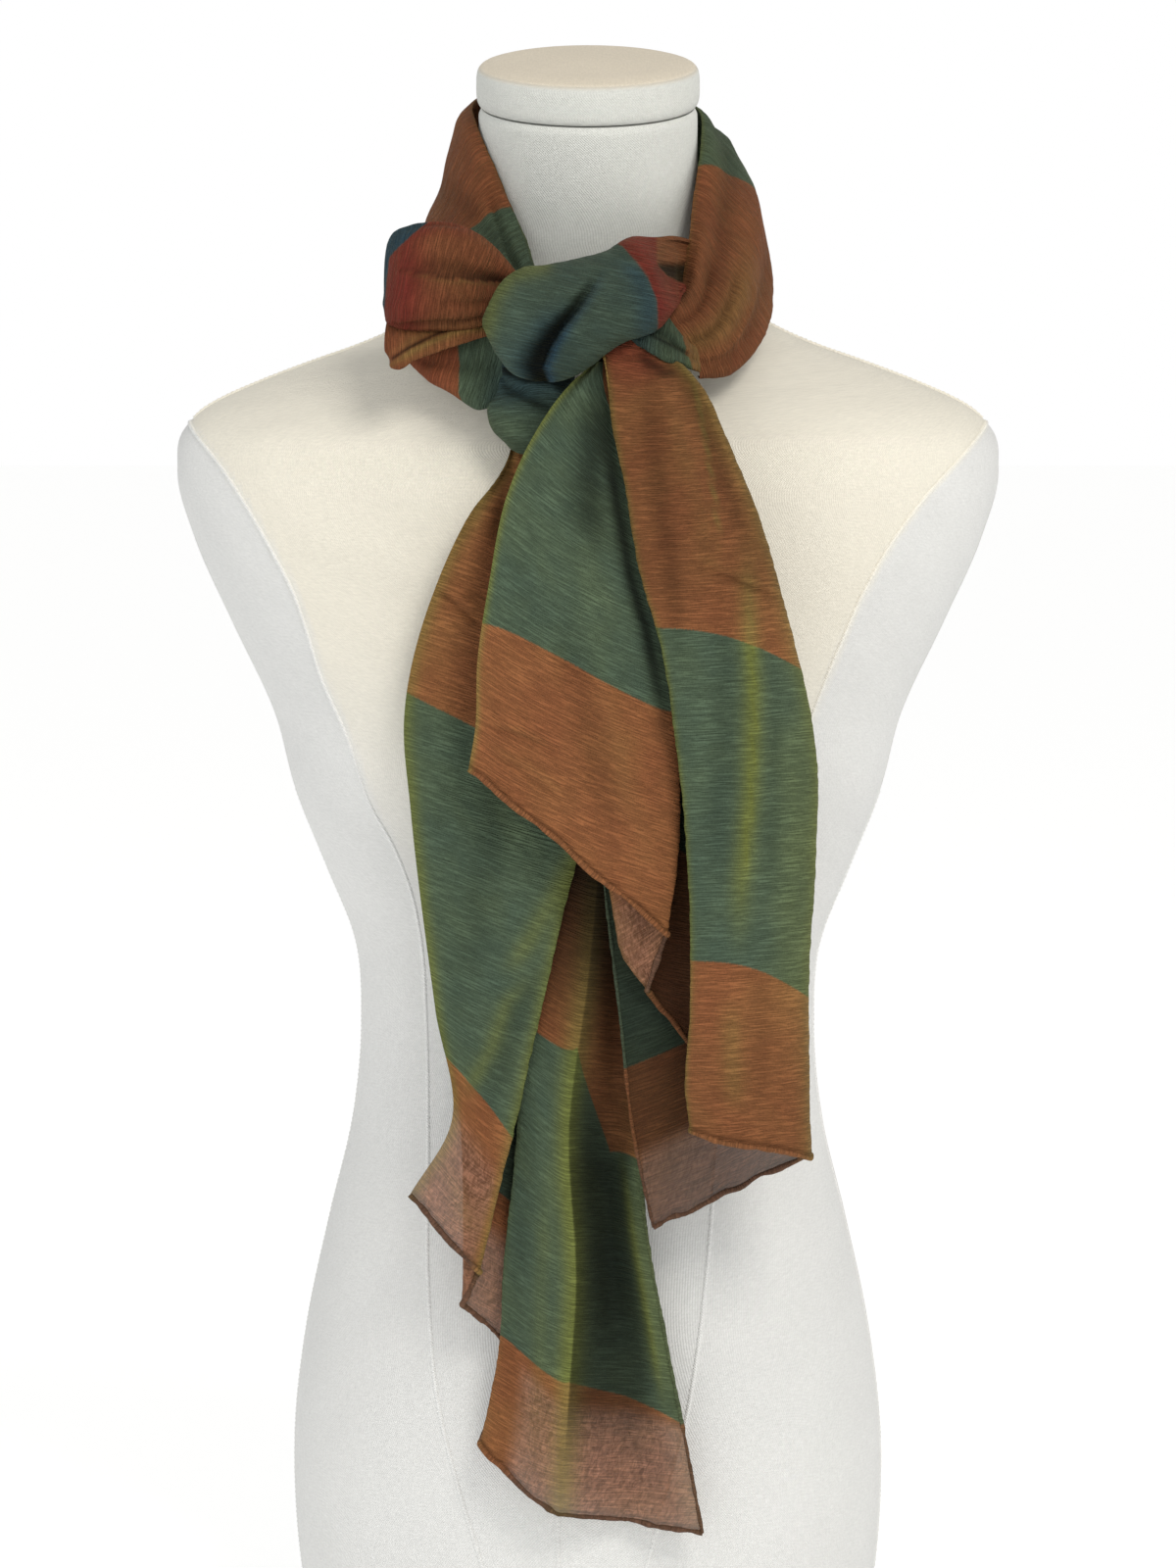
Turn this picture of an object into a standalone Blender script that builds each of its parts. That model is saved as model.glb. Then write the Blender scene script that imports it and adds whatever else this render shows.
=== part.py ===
"""A long chiffon scarf, doubled and knotted round the neck of a limbless dress form.

Tables are in millimetres. X runs to the wearer's left, Y to the back and Z up, with the origin at the centre
of the form's flat base. Each stretch of the scarf that shows is one closed wall:
a pad is a wall bulged between an upper and a lower edge, and a tail is a wall pleated between its folds.
"""

import math
from collections import namedtuple

import bpy
import numpy as np

MM = 0.001

# Driving dimensions
CLOTH_WALL = 1.2
CLOTH_GAP = 0.4
CAP_RADIUS = 52.3
FORM_CENTRE_X = 1.0
CORE_CENTRE = (-3.0, -86.0, 645.0)
CORE_RADII = (36.0, 21.0, 25.0)
BUST_CENTRE = (76.0, 452.0)
BUST_RADIUS = 46.0
BUST_DEPTH = 10.0

# How finely each kind of surface is cut
FORM_SIDES = 40
FORM_ROWS = 32
CORE_SIDES = 24
CORE_ROWS = 12
TAIL_ROWS = 17
PANEL_COLUMNS = 5
PAD_ROWS = 13
PAD_COLUMNS = 9

# Dress form: height, half width, front, back, squareness of the plan, tilt of the section in degrees
FormSection = namedtuple("FormSection", "height half_width front back square tilt")
FORM_SECTIONS = (
    FormSection(0, 133, -98, 108, 2.3, 0),
    FormSection(60, 141, -104, 120, 2.3, 0),
    FormSection(105, 142, -106, 124, 2.3, 0),
    FormSection(158, 136, -103, 117, 2.3, 0),
    FormSection(214, 124, -97, 103, 2.25, 0),
    FormSection(260, 113, -91, 91, 2.2, 0),
    FormSection(308, 108.5, -88, 83, 2.2, 0),
    FormSection(346, 111, -91, 82, 2.2, 0),
    FormSection(383, 125, -98, 85, 2.2, 0),
    FormSection(421, 140, -103, 90, 2.25, 0),
    FormSection(455, 149, -105, 95, 2.3, 0),
    FormSection(500, 170, -102, 99, 2.35, 0),
    FormSection(540, 188, -94, 100, 2.4, 0),
    FormSection(572, 196, -85, 96, 2.4, 0),
    FormSection(592, 192, -77, 90, 2.3, 0),
    FormSection(602, 181, -73, 85, 2.1, 0),
    FormSection(612, 160, -68, 80, 2.0, 0),
    FormSection(622, 134, -63, 75, 2.0, 0),
    FormSection(632, 106, -58, 68, 2.0, 0),
    FormSection(644, 81, -54, 60, 2.0, 0),
    FormSection(660, 63, -53, 52, 2.0, 2),
    FormSection(685, 55, -57, 46, 2.0, 5),
    FormSection(715, 52, -64, 39, 2.0, 9),
    FormSection(742.6, 51.5, -72, 31, 2.0, 13),
)
NECK_TOP = FORM_SECTIONS[-1]

# Neck cap: radius and height above its own lower face, bottom to top
CAP_PROFILE = ((50.6, 0.0), (52.3, 1.6), (52.3, 16.0), (51.0, 18.4), (48.0, 19.8), (30.0, 21.6))
CAP_CROWN = 22.4

# A pad's section: upper edge, lower edge, and how far the cloth between them stands out
Pad = namedtuple("Pad", "upper lower bulge")
KNOT_CROSS = (
    Pad((31, -92, 679), (44, -98, 658), (0, -8, 0)),
    Pad((21, -94, 681), (40, -108, 647), (0, -20, 2)),
    Pad((8, -93, 674), (32, -117, 638), (0, -24, 4)),
    Pad((-6, -92, 670.4), (14, -122, 631), (0, -27, 4)),
    Pad((-19, -95, 668), (-1, -122, 620), (0, -27, 3)),
    Pad((-29, -101, 667), (-14, -119, 615), (-1, -24, 2)),
    Pad((-37, -104, 662), (-27, -116, 616), (-4, -19, 0)),
    Pad((-42, -105, 653), (-36, -112, 623), (-5, -13, 0)),
    Pad((-44, -104, 647), (-42, -107, 635), (-4, -5, 0)),
)
CROSS_VALLEY = ((0.40, 0.28), (0.64, 0.78), 17, 0.12)
KNOT_WRAP = (
    Pad((-30, -96, 624), (-8, -99, 624), (0, -3, 0)),
    Pad((-40, -94, 611), (-7, -100, 610), (-2, -8, 0)),
    Pad((-45, -93, 602), (-10, -101, 599), (-2, -11, 0)),
    Pad((-43, -94, 593), (-16, -102, 589), (-1, -11, -2)),
    Pad((-36, -96, 586), (-22, -100, 583), (0, -5, -3)),
)
LOOP_FAN = (
    Pad((-31, -92, 661), (-35, -92, 646), (0, -2, 0)),
    Pad((-42, -93, 672), (-46, -92, 640), (0, -7, 0)),
    Pad((-52, -93, 682), (-59, -92, 637), (0, -13, 0)),
    Pad((-61, -93, 687), (-71, -92, 637), (0, -15, 0)),
    Pad((-72, -92, 688), (-80, -91, 638), (-1, -13, 0)),
    Pad((-83, -90, 685), (-87, -89, 641), (-3, -10, 0)),
    Pad((-90, -87, 679), (-91, -86, 643), (-4, -5, 0)),
    Pad((-92, -82, 674), (-92, -81, 645), (-4, 0, 0)),
    Pad((-86, -78, 678), (-86, -78, 642), (-2, 2, 0)),
    Pad((-66, -77, 680), (-68, -77, 640), (0, 2, 0)),
)
FAN_CREASE = ((0.05, 0.42), (0.50, 0.45), 4, 0.10)
LOOP_FAN_LIP = (
    Pad((-44, -90, 638.4), (-44, -93, 632), (0, -1, 0)),
    Pad((-56, -91, 636), (-56, -95, 629), (0, -2, -1)),
    Pad((-68, -91, 635.6), (-68, -97, 625), (0, -3, -1)),
    Pad((-79, -90, 636.4), (-80, -98, 621), (0, -3, -1)),
    Pad((-87, -88, 638.6), (-89, -97, 618), (-1, -3, -1)),
    Pad((-91, -85, 641.6), (-93, -93, 628), (-1, -2, 0)),
)
UNDER_BAND = (
    Pad((-80, -72, 630), (-83, -76, 624), (0, -2, 0)),
    Pad((-70, -75, 631), (-73, -82, 615), (0, -6, 0)),
    Pad((-58, -79, 630), (-62, -85, 609), (0, -7, 0)),
    Pad((-47, -83, 628), (-51, -90, 602), (0, -5, 0)),
    Pad((-34, -87, 625), (-41, -91, 604), (0, -2, 0)),
)
KNOT_GATHER = (
    Pad((24, -101, 648), (25, -107, 640), (0, -3, 0)),
    Pad((34, -101, 645), (34, -110, 634), (1, -5, 1)),
    Pad((42, -100, 640), (42, -108, 627), (2, -5, 1)),
    Pad((49, -97, 632), (49, -103, 619), (1, -4, 0)),
)
# The stretch round the neck, from the knot, round the left, back and right, to the knot again
NECK_WRAP = (
    Pad((-22, -72, 662), (-34, -82, 648), (-2, -5, 3)),
    Pad((-28, -56, 681), (-53, -74, 656), (-5, -9, 4)),
    Pad((-36, -48.5, 698), (-64, -60, 660), (-6, -8, 4)),
    Pad((-43.5, -42, 716), (-71, -42, 664), (-6, -5, 3)),
    Pad((-51, -28, 734), (-74, -20, 670), (-6, -1, 2)),
    Pad((-53.4, -6, 744), (-73, 6, 676), (-6, 2, 2)),
    Pad((-46, 18, 750), (-62, 34, 682), (-6, 6, 2)),
    Pad((-29, 32, 752), (-38, 53, 686), (-4, 9, 2)),
    Pad((1, 37.5, 753), (1, 62, 688), (0, 11, 2)),
    Pad((31, 32, 750), (40, 53, 688), (4, 9, 2)),
    Pad((47, 16, 746), (64, 34, 682), (8, 6, 2)),
    Pad((54, -6, 740), (79, 8, 674), (10, 2, 2)),
    Pad((54, -24, 726), (84, -14, 658), (11, -3, 2)),
    Pad((50, -44, 700), (83, -38, 643), (10, -9, 1)),
    Pad((47, -62, 676), (77, -60, 629), (8, -12, 0)),
    Pad((42, -78, 656), (65, -76, 617), (5, -11, 0)),
    Pad((33, -90, 648), (52, -88, 616), (3, -6, 0)),
)
# The rows of the neck wrap where its left, back and right solids meet
WRAP_ROWS = 49
WRAP_SEAMS = (19, 29)

# A fold: which way the cloth turns there, how wide the turn is, and the places it runs through, top to hem
Fold = namedtuple("Fold", "turn reach places")
TAIL_FRONT = (
    Fold("edge", 0, ((4, -116, 624), (-8, -119, 613), (-23, -125, 592), (-35, -134, 566),
                     (-44, -142, 523), (-49, -146, 489), (-50, -148, 459), (-53, -148, 441))),
    Fold("back", 24, ((12, -114.5, 624), (20, -124, 585), (29, -134, 550), (36, -141, 505), (41, -143, 469),
                      (43, -144, 424), (41, -144, 390), (37, -144, 366))),
    Fold("back", 24, ((0, -111.5, 622), (-9, -118, 590), (-12, -128, 550), (-8, -135, 505), (0, -137, 469),
                      (7, -138, 433), (12, -138, 376), (17, -138, 353), (28, -138, 338))),
    Fold("front", 40, ((20, -114, 624), (32, -122, 585), (42, -133, 550), (52, -141, 505), (58, -143, 469),
                       (62, -144, 420), (62, -144, 370), (56, -144, 303))),
    Fold("front", 24, ((8, -119, 626), (12, -128, 595), (19, -142, 560), (25, -149, 527), (32, -152, 504),
                       (42, -154, 442), (47, -154, 376), (47, -154, 331), (45, -153, 293), (47, -153, 276))),
    Fold("back", 60, ((36, -112, 631.5), (54, -121, 611), (63, -128, 592), (74, -134, 566), (90, -141, 514),
                      (104, -142, 452), (104, -142, 389), (102, -142, 359), (103, -142, 263))),
    Fold("edge", 0, ((6, -107, 620), (4, -122, 540), (1, -128, 477), (7, -130, 402), (16, -130, 323),
                     (22, -130, 270), (31, -130, 228))),
)
TAIL_BACK = (
    Fold("edge", 0, ((-33, -95.4, 588), (-39, -101, 573), (-52, -111, 556), (-68, -118, 523),
                     (-83, -124, 460), (-80, -125, 420), (-69, -124, 328), (-62, -123, 275), (-81, -121, 242))),
    Fold("back", 20, ((-12, -95, 587), (-8, -113, 520), (-3, -121, 455), (-3, -123, 407), (-12, -124, 364),
                      (-22, -124, 320), (-34, -123, 268), (-49, -122, 205))),
    Fold("back", 24, ((-28, -89.5, 588), (-54, -110, 530), (-75, -117, 455), (-73, -118, 400),
                      (-63, -118, 330), (-57, -118, 260), (-57, -118, 191))),
    Fold("front", 16, ((-10, -87, 588), (-4, -105, 530), (-2, -112, 455), (-4, -113, 380), (-10, -113, 300),
                       (-22, -113, 220), (-32, -114, 165))),
    Fold("front", 16, ((-24, -88.5, 589), (-34, -108, 530), (-38, -115, 455), (-34, -116, 380),
                       (-32, -116, 272), (-38, -116, 210), (-41, -117, 163), (-49, -118, 124))),
    Fold("wave", 16, ((-2, -91, 589), (4, -110, 520), (8, -117, 455), (6, -120, 400), (1, -121, 345),
                      (-8, -123, 272), (-5, -124, 199), (-8, -124, 152), (-12, -124, 92))),
    Fold("wave", 16, ((5, -88, 589), (16, -103, 520), (20, -110, 455), (18, -111, 345), (11, -111, 250),
                      (17, -111, 159), (19, -112, 88))),
    Fold("edge", 0, ((10, -88, 588), (26, -107, 520), (38, -113, 455), (38, -116, 380), (26, -118, 300),
                     (27, -118, 231), (37, -118, 173), (47, -118, 121), (54, -118, 82))),
)
TURN_DIRECTION = {"back": (0, 1, 0), "front": (0, -1, 0), "wave": (1, 0, 0)}
GATHERED_REACH = 0.22
GATHER_END = 0.35

Material = namedtuple("Material", "colour roughness")
JERSEY = Material((0.78, 0.74, 0.66), 0.9)
RUST_CHIFFON = Material((0.30, 0.10, 0.05), 0.6)
GREEN_CHIFFON = Material((0.07, 0.14, 0.11), 0.6)


def clear_scene():
    for thing in list(bpy.data.objects):
        bpy.data.objects.remove(thing, do_unlink=True)


def material_of(name, finish):
    material = bpy.data.materials.new(name)
    material.use_nodes = True
    shader = material.node_tree.nodes["Principled BSDF"]
    shader.inputs["Base Color"].default_value = (*finish.colour, 1)
    shader.inputs["Roughness"].default_value = finish.roughness
    shader.inputs["Metallic"].default_value = 0
    return material


def add_solid(name, points, faces, finish):
    mesh = bpy.data.meshes.new(name)
    mesh.from_pydata((np.asarray(points) * MM).tolist(), [], faces)
    mesh.validate()
    mesh.materials.append(material_of(name, finish))
    mesh.shade_smooth()
    mesh.set_sharp_from_angle(angle=math.radians(50))
    solid = bpy.data.objects.new(name, mesh)
    bpy.context.scene.collection.objects.link(solid)
    return solid


def smooth_rows(rows, at, where):
    """Rows of numbers known at the places at, read at the places where, on a smooth line through them."""
    rows = np.array(rows, float)
    slope = np.gradient(rows, at, axis=0)
    k = np.clip(np.searchsorted(at, where, side="right") - 1, 0, len(at) - 2)
    step = (at[k + 1] - at[k])[:, None]
    u = (where - at[k])[:, None] / step
    start = rows[k] * (2 * u**3 - 3 * u**2 + 1) + slope[k] * step * (u**3 - 2 * u**2 + u)
    end = rows[k + 1] * (3 * u**2 - 2 * u**3) + slope[k + 1] * step * (u**3 - u**2)
    return start + end


def along(rows, count):
    """A smooth line through rows that begin with a place, read at count even steps of its length."""
    rows = np.array(rows, float)
    steps = np.linalg.norm(np.diff(rows[:, :3], axis=0), axis=1)
    at = np.concatenate([[0], np.cumsum(steps)])
    return smooth_rows(rows, at, np.linspace(0, at[-1], count))


def wall(grid, thickness):
    """A closed wall of even thickness about a grid of points, its front on the side of the grid's normals."""
    rows, columns = grid.shape[:2]
    normal = np.cross(np.gradient(grid, axis=0), np.gradient(grid, axis=1))
    normal /= np.linalg.norm(normal, axis=2, keepdims=True)
    front = (grid + normal * thickness / 2).reshape(-1, 3)
    back = (grid - normal * thickness / 2).reshape(-1, 3)
    shift = rows * columns
    faces = []
    for i in range(rows - 1):
        for j in range(columns - 1):
            a, b = i * columns + j, i * columns + j + 1
            c, d = a + columns, b + columns
            faces += [(a, c, d), (a, d, b)]
            faces += [(a + shift, d + shift, c + shift), (a + shift, b + shift, d + shift)]
    last = (rows - 1) * columns
    rim = [j for j in range(columns)]
    rim += [i * columns + columns - 1 for i in range(1, rows)]
    rim += [last + j for j in range(columns - 2, -1, -1)]
    rim += [i * columns for i in range(rows - 2, 0, -1)]
    for a, b in zip(rim, rim[1:] + rim[:1]):
        faces += [(a, b, b + shift), (a, b + shift, a + shift)]
    return np.concatenate([front, back]), faces


def ring_solid(rings, bottom, top):
    """A closed body through rings of points, bottom to top, with a point to close each end."""
    sides = len(rings[0])
    points = np.concatenate([*rings, [bottom], [top]])
    faces = []
    for i in range(len(rings) - 1):
        for j in range(sides):
            a, b = i * sides + j, i * sides + (j + 1) % sides
            faces += [(a, b, b + sides), (a, b + sides, a + sides)]
    low, high = len(points) - 2, len(points) - 1
    last = (len(rings) - 1) * sides
    for j in range(sides):
        k = (j + 1) % sides
        faces.append((low, k, j))
        faces.append((high, last + j, last + k))
    return points, faces


def form_body():
    """The torso and neck, one smooth body through its sections."""
    table = np.array(FORM_SECTIONS, float)
    heights = table[:, 0]
    count = FORM_ROWS
    where = np.interp(np.linspace(0, len(heights) - 1, count), range(len(heights)), heights)
    sections = smooth_rows(table, heights, where)
    turn = np.linspace(0, 2 * np.pi, FORM_SIDES, endpoint=False)
    rings = []
    for height, half_width, front, back, square, tilt in sections:
        middle = (front + back) / 2
        half_depth = (back - front) / 2
        x = half_width * np.sign(np.cos(turn)) * np.abs(np.cos(turn)) ** (2 / square)
        y = half_depth * np.sign(np.sin(turn)) * np.abs(np.sin(turn)) ** (2 / square)
        side, level = BUST_CENTRE
        reach = ((np.abs(x) - side) ** 2 + (height - level) ** 2) / BUST_RADIUS**2
        bust = BUST_DEPTH * np.exp(-reach) * (y < 0)
        z = height + y * math.tan(math.radians(tilt))
        rings.append(np.stack([x + FORM_CENTRE_X, y + middle - bust, z], axis=1))
    bottom = rings[0].mean(axis=0)
    return ring_solid(rings, bottom, rings[-1].mean(axis=0))


def form_cap():
    """The neck cap, a domed disc on the tilted end of the neck."""
    turn = np.linspace(0, 2 * np.pi, FORM_SIDES, endpoint=False)
    tilt = math.radians(NECK_TOP.tilt)
    up = np.array([0, -math.sin(tilt), math.cos(tilt)])
    back = np.array([0, math.cos(tilt), math.sin(tilt)])
    neck_middle = (FORM_CENTRE_X, (NECK_TOP.front + NECK_TOP.back) / 2, NECK_TOP.height)
    centre = np.array(neck_middle) + up * CLOTH_GAP
    rings = []
    for radius, height in CAP_PROFILE:
        ring = np.outer(np.cos(turn), (1, 0, 0)) + np.outer(np.sin(turn), back)
        rings.append(centre + ring * radius + up * height)
    return ring_solid(rings, centre, centre + up * CAP_CROWN)


def knot_core():
    """The layers hidden inside the knot, as one rounded body."""
    turn = np.linspace(0, 2 * np.pi, CORE_SIDES, endpoint=False)
    rings = []
    for rise in np.linspace(-np.pi / 2, np.pi / 2, CORE_ROWS + 1)[1:-1]:
        flat = np.stack([np.cos(turn), np.sin(turn), 0 * turn], axis=1) * math.cos(rise)
        rings.append(np.array(CORE_CENTRE) + (flat + (0, 0, math.sin(rise))) * CORE_RADII)
    pole = np.array([0, 0, CORE_RADII[2]])
    return ring_solid(rings, CORE_CENTRE - pole, CORE_CENTRE + pole)


def padded(sections, rows=PAD_ROWS, columns=PAD_COLUMNS):
    """A grid of points bulged between an upper and a lower edge, one row for each step along the stretch."""
    flat = [(*s.upper, *s.lower, *s.bulge) for s in sections]
    line = along(flat, rows)
    upper, lower, bulge = line[:, None, 0:3], line[:, None, 3:6], line[:, None, 6:9]
    turn = np.linspace(0, np.pi, columns)[None, :, None]
    return upper + (lower - upper) * (1 - np.cos(turn)) / 2 + bulge * np.sin(turn)


def on_core(row):
    """Moves a row of points onto the knot's core, so that a wall through them just clears it."""
    reach = np.array(CORE_RADII) + CLOTH_GAP + CLOTH_WALL / 2
    out = (row - CORE_CENTRE) / reach
    return np.array(CORE_CENTRE) + out * reach / np.linalg.norm(out, axis=1, keepdims=True)


def split(grid, first, last):
    """The rows of a grid from first to last, drawn in at each cut so that the two sides stay clear."""
    piece = grid[first : last + 1].copy()
    for end, inner, cut in ((0, 1, first > 0), (-1, -2, last < len(grid) - 1)):
        if not cut:
            continue
        step = piece[inner] - piece[end]
        piece[end] += step * CLOTH_GAP / 2 / np.linalg.norm(step, axis=1, keepdims=True)
    return piece


def valley(grid, start, end, depth, width, push=(0, 1, 0)):
    """Presses a trough into the grid along a line from start to end, each a share of the rows and columns."""
    rows, columns = grid.shape[:2]
    place = np.stack(np.meshgrid(np.linspace(0, 1, rows), np.linspace(0, 1, columns), indexing="ij"), axis=2)
    line = np.subtract(end, start)
    share = np.clip(((place - start) @ line) / (line @ line), 0, 1)
    away = np.linalg.norm(place - start - share[..., None] * line, axis=2) / width
    return grid + (depth * share * np.exp(-(away**2)))[..., None] * np.array(push, float)


def pleated(folds, rows=TAIL_ROWS, columns=PANEL_COLUMNS):
    """A grid of points that runs from the first fold to the last, turning round each one between."""
    lines = [along(fold.places, rows) for fold in folds]
    down = np.linspace(0, 1, rows)
    open_share = np.clip(down / GATHER_END, 0, 1)
    reach = GATHERED_REACH + (1 - GATHERED_REACH) * open_share * open_share * (3 - 2 * open_share)
    turns = []
    for fold in folds:
        direction = np.array(TURN_DIRECTION.get(fold.turn, (0, 0, 0)), float)
        turns.append(reach[:, None] * fold.reach * direction)
    panels = []
    for k in range(len(folds) - 1):
        a, b = lines[k], lines[k + 1]
        start = turns[k] if folds[k].turn != "edge" else (b - a) / 2
        end = turns[k + 1] if folds[k + 1].turn != "edge" else (b - a) / 2
        for u in np.linspace(0, 1, columns)[: -1 if k < len(folds) - 2 else None]:
            point = a * (2 * u**3 - 3 * u**2 + 1) + start * (u**3 - 2 * u**2 + u)
            panels.append(point + b * (3 * u**2 - 2 * u**3) + end * (u**3 - u**2))
    return np.stack(panels, axis=1)


def neck_wraps():
    """The stretch round the neck as its left, back and right walls."""
    whole = padded(NECK_WRAP, rows=WRAP_ROWS)
    whole[0] = on_core(whole[0])
    whole[-1] = on_core(whole[-1])
    cuts = (0, *WRAP_SEAMS, WRAP_ROWS - 1)
    names = ("neck_wrap_left", "neck_wrap_back", "neck_wrap_right")
    for name, first, last in zip(names, cuts, cuts[1:]):
        add_solid(name, *wall(split(whole, first, last), CLOTH_WALL), RUST_CHIFFON)


def knot():
    """The wraps of the knot round its core."""
    add_solid("knot_core", *knot_core(), GREEN_CHIFFON)
    cross = valley(padded(KNOT_CROSS, rows=17, columns=13), *CROSS_VALLEY)
    add_solid("knot_cross", *wall(cross, CLOTH_WALL), GREEN_CHIFFON)
    lower = padded(KNOT_WRAP)
    lower[0] = on_core(lower[0])
    add_solid("knot_wrap", *wall(lower, CLOTH_WALL), GREEN_CHIFFON)
    gather = padded(KNOT_GATHER, rows=7, columns=7)
    gather[0] = on_core(gather[0])
    add_solid("knot_gather", *wall(gather, CLOTH_WALL), GREEN_CHIFFON)


def loop():
    """The doubled end that fans out at the left of the knot, its lower lip, and the band under it."""
    fan = valley(padded(LOOP_FAN, rows=19), *FAN_CREASE)
    fan[0] = on_core(fan[0])
    add_solid("loop_fan", *wall(fan, CLOTH_WALL), RUST_CHIFFON)
    add_solid("loop_fan_lip", *wall(padded(LOOP_FAN_LIP, columns=5), CLOTH_WALL), RUST_CHIFFON)
    add_solid("under_band", *wall(padded(UNDER_BAND, columns=7), CLOTH_WALL), GREEN_CHIFFON)


def build():
    clear_scene()
    add_solid("form_body", *form_body(), JERSEY)
    add_solid("form_cap", *form_cap(), JERSEY)
    neck_wraps()
    loop()
    knot()
    add_solid("tail_front", *wall(pleated(TAIL_FRONT), CLOTH_WALL), GREEN_CHIFFON)
    add_solid("tail_back", *wall(pleated(TAIL_BACK), CLOTH_WALL), GREEN_CHIFFON)


build()
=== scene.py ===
"""The looks of a sheer two-colour chiffon scarf, doubled and knotted round the neck of a limbless dress form.

Every stretch of cloth is one fine sheet on the form of its CAD solid, with its creases, crinkle and hems.
Tables are in millimetres, as in the CAD: X runs to the wearer's left, Y to the back and Z up.
Left and right in names and comments are as seen from the front, where X runs to the right.
A colour block's edges are given by how far along the cloth they lie from the hem, or by the row of a table.
"""

import math
from collections import namedtuple

import bpy
import numpy as np
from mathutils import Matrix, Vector


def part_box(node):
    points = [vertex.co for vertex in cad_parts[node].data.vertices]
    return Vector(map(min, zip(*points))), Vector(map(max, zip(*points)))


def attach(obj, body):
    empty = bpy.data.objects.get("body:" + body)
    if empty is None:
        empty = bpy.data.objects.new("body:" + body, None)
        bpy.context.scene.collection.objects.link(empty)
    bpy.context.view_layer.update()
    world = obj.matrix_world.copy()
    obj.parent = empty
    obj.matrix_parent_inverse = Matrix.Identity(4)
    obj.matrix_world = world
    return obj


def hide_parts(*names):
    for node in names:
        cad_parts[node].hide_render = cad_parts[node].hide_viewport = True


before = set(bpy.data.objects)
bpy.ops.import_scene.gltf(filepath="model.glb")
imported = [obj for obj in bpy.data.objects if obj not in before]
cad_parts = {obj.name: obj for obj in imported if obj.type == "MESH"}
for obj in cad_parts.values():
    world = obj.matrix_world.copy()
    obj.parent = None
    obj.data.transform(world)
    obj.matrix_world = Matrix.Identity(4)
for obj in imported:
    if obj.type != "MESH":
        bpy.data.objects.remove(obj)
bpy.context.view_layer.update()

MM = 0.001
FORWARD = (0, -1, 0)
BACK = (0, 1, 0)
UP = (0, 0, 1)

# ---------------------------------------------------------------- sizes of the form
FORM_CENTRE_X = 1.0
BUST_CENTRE = (76.0, 452.0)
BUST_RADIUS = 46.0
BUST_DEPTH = 10.0
FORM_SIDES = 200
FORM_ROWS = 230
CAP_SIDES = 160
NECK_RIM = 1.8
NECK_RIM_ROWS = (3.2, 2.4, 1.6, 1.0, 0.5)
ARM_HOLLOW = 3.0
ARM_HOLLOW_WIDTH = 16.0
ARM_TOP = 596.0
ARM_BOTTOM = 400.0
# How far from its top and its bottom the hollow at the arm is back to its full depth
ARM_TOP_FADE = 30.0
ARM_BOTTOM_FADE = 60.0

FormSection = namedtuple("FormSection", "height half_width front back square tilt")
FORM_SECTIONS = (
    FormSection(0, 133, -98, 108, 2.3, 0),
    FormSection(60, 141, -104, 120, 2.3, 0),
    FormSection(105, 142, -106, 124, 2.3, 0),
    FormSection(158, 136, -103, 117, 2.3, 0),
    FormSection(214, 124, -97, 103, 2.25, 0),
    FormSection(260, 113, -91, 91, 2.2, 0),
    FormSection(308, 108.5, -88, 83, 2.2, 0),
    FormSection(346, 111, -91, 82, 2.2, 0),
    FormSection(383, 125, -98, 85, 2.2, 0),
    FormSection(421, 140, -103, 90, 2.25, 0),
    FormSection(455, 149, -105, 95, 2.3, 0),
    FormSection(500, 170, -102, 99, 2.35, 0),
    FormSection(540, 188, -94, 100, 2.4, 0),
    FormSection(572, 196, -85, 96, 2.4, 0),
    FormSection(592, 192, -77, 90, 2.3, 0),
    FormSection(602, 181, -73, 85, 2.1, 0),
    FormSection(612, 160, -68, 80, 2.0, 0),
    FormSection(622, 134, -63, 75, 2.0, 0),
    FormSection(632, 106, -58, 68, 2.0, 0),
    FormSection(644, 81, -54, 60, 2.0, 0),
    FormSection(660, 63, -53, 52, 2.0, 2),
    FormSection(685, 55, -57, 46, 2.0, 5),
    FormSection(715, 52, -64, 39, 2.0, 9),
    FormSection(742.6, 51.5, -72, 31, 2.0, 13),
)
NECK_TOP = FORM_SECTIONS[-1]
CAP_GAP = 0.4
# Neck cap: radius and height above its own lower face, from the middle below to the middle above
CAP_PROFILE = ((0.0, 0.0), (49.0, 0.0), (50.4, 0.5), (51.5, 1.7), (52.2, 3.6), (52.5, 6.5), (52.5, 11.0),
               (52.3, 15.0), (51.7, 17.4), (50.2, 19.2), (47.4, 20.2), (30.0, 21.6), (0.0, 22.4))
CAP_HEIGHT = CAP_PROFILE[-1][1]
CAP_SHOULDER = 18.6

# Seams of the form's cover: the armhole runs on into the princess seam. Side to side, height
SEAM_ARM_LEFT = ((-189, 594), (-171, 574), (-158, 555), (-146, 535), (-136, 516), (-130, 499), (-123, 477),
                 (-112, 453), (-99, 416), (-91, 402), (-82, 379), (-77, 353), (-75, 319), (-74, 254),
                 (-74, 196), (-69, 138), (-60, 101), (-48, 61), (-38, 20), (-35, 3))
SEAM_ARM_RIGHT = ((191, 594), (179, 581), (159, 561), (142, 539), (128, 515), (118, 493), (107, 467),
                  (93, 425), (80, 390), (72, 353), (66, 319), (61, 254), (56, 196), (52, 163), (46, 129),
                  (32, 77), (20, 30), (16, 3))
SEAM_MIDDLE_X = -13.0
SEAM_MIDDLE_HEIGHTS = (3, 60, 120, 180, 240)
SEAM_BACK_HEIGHTS = (*SEAM_MIDDLE_HEIGHTS, 300, 360, 420, 480, 540, 590, 615)
SEAM_SHOULDER_HEIGHTS = (596, 600, 606, 612, 618, 624, 630, 636, 642)
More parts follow.
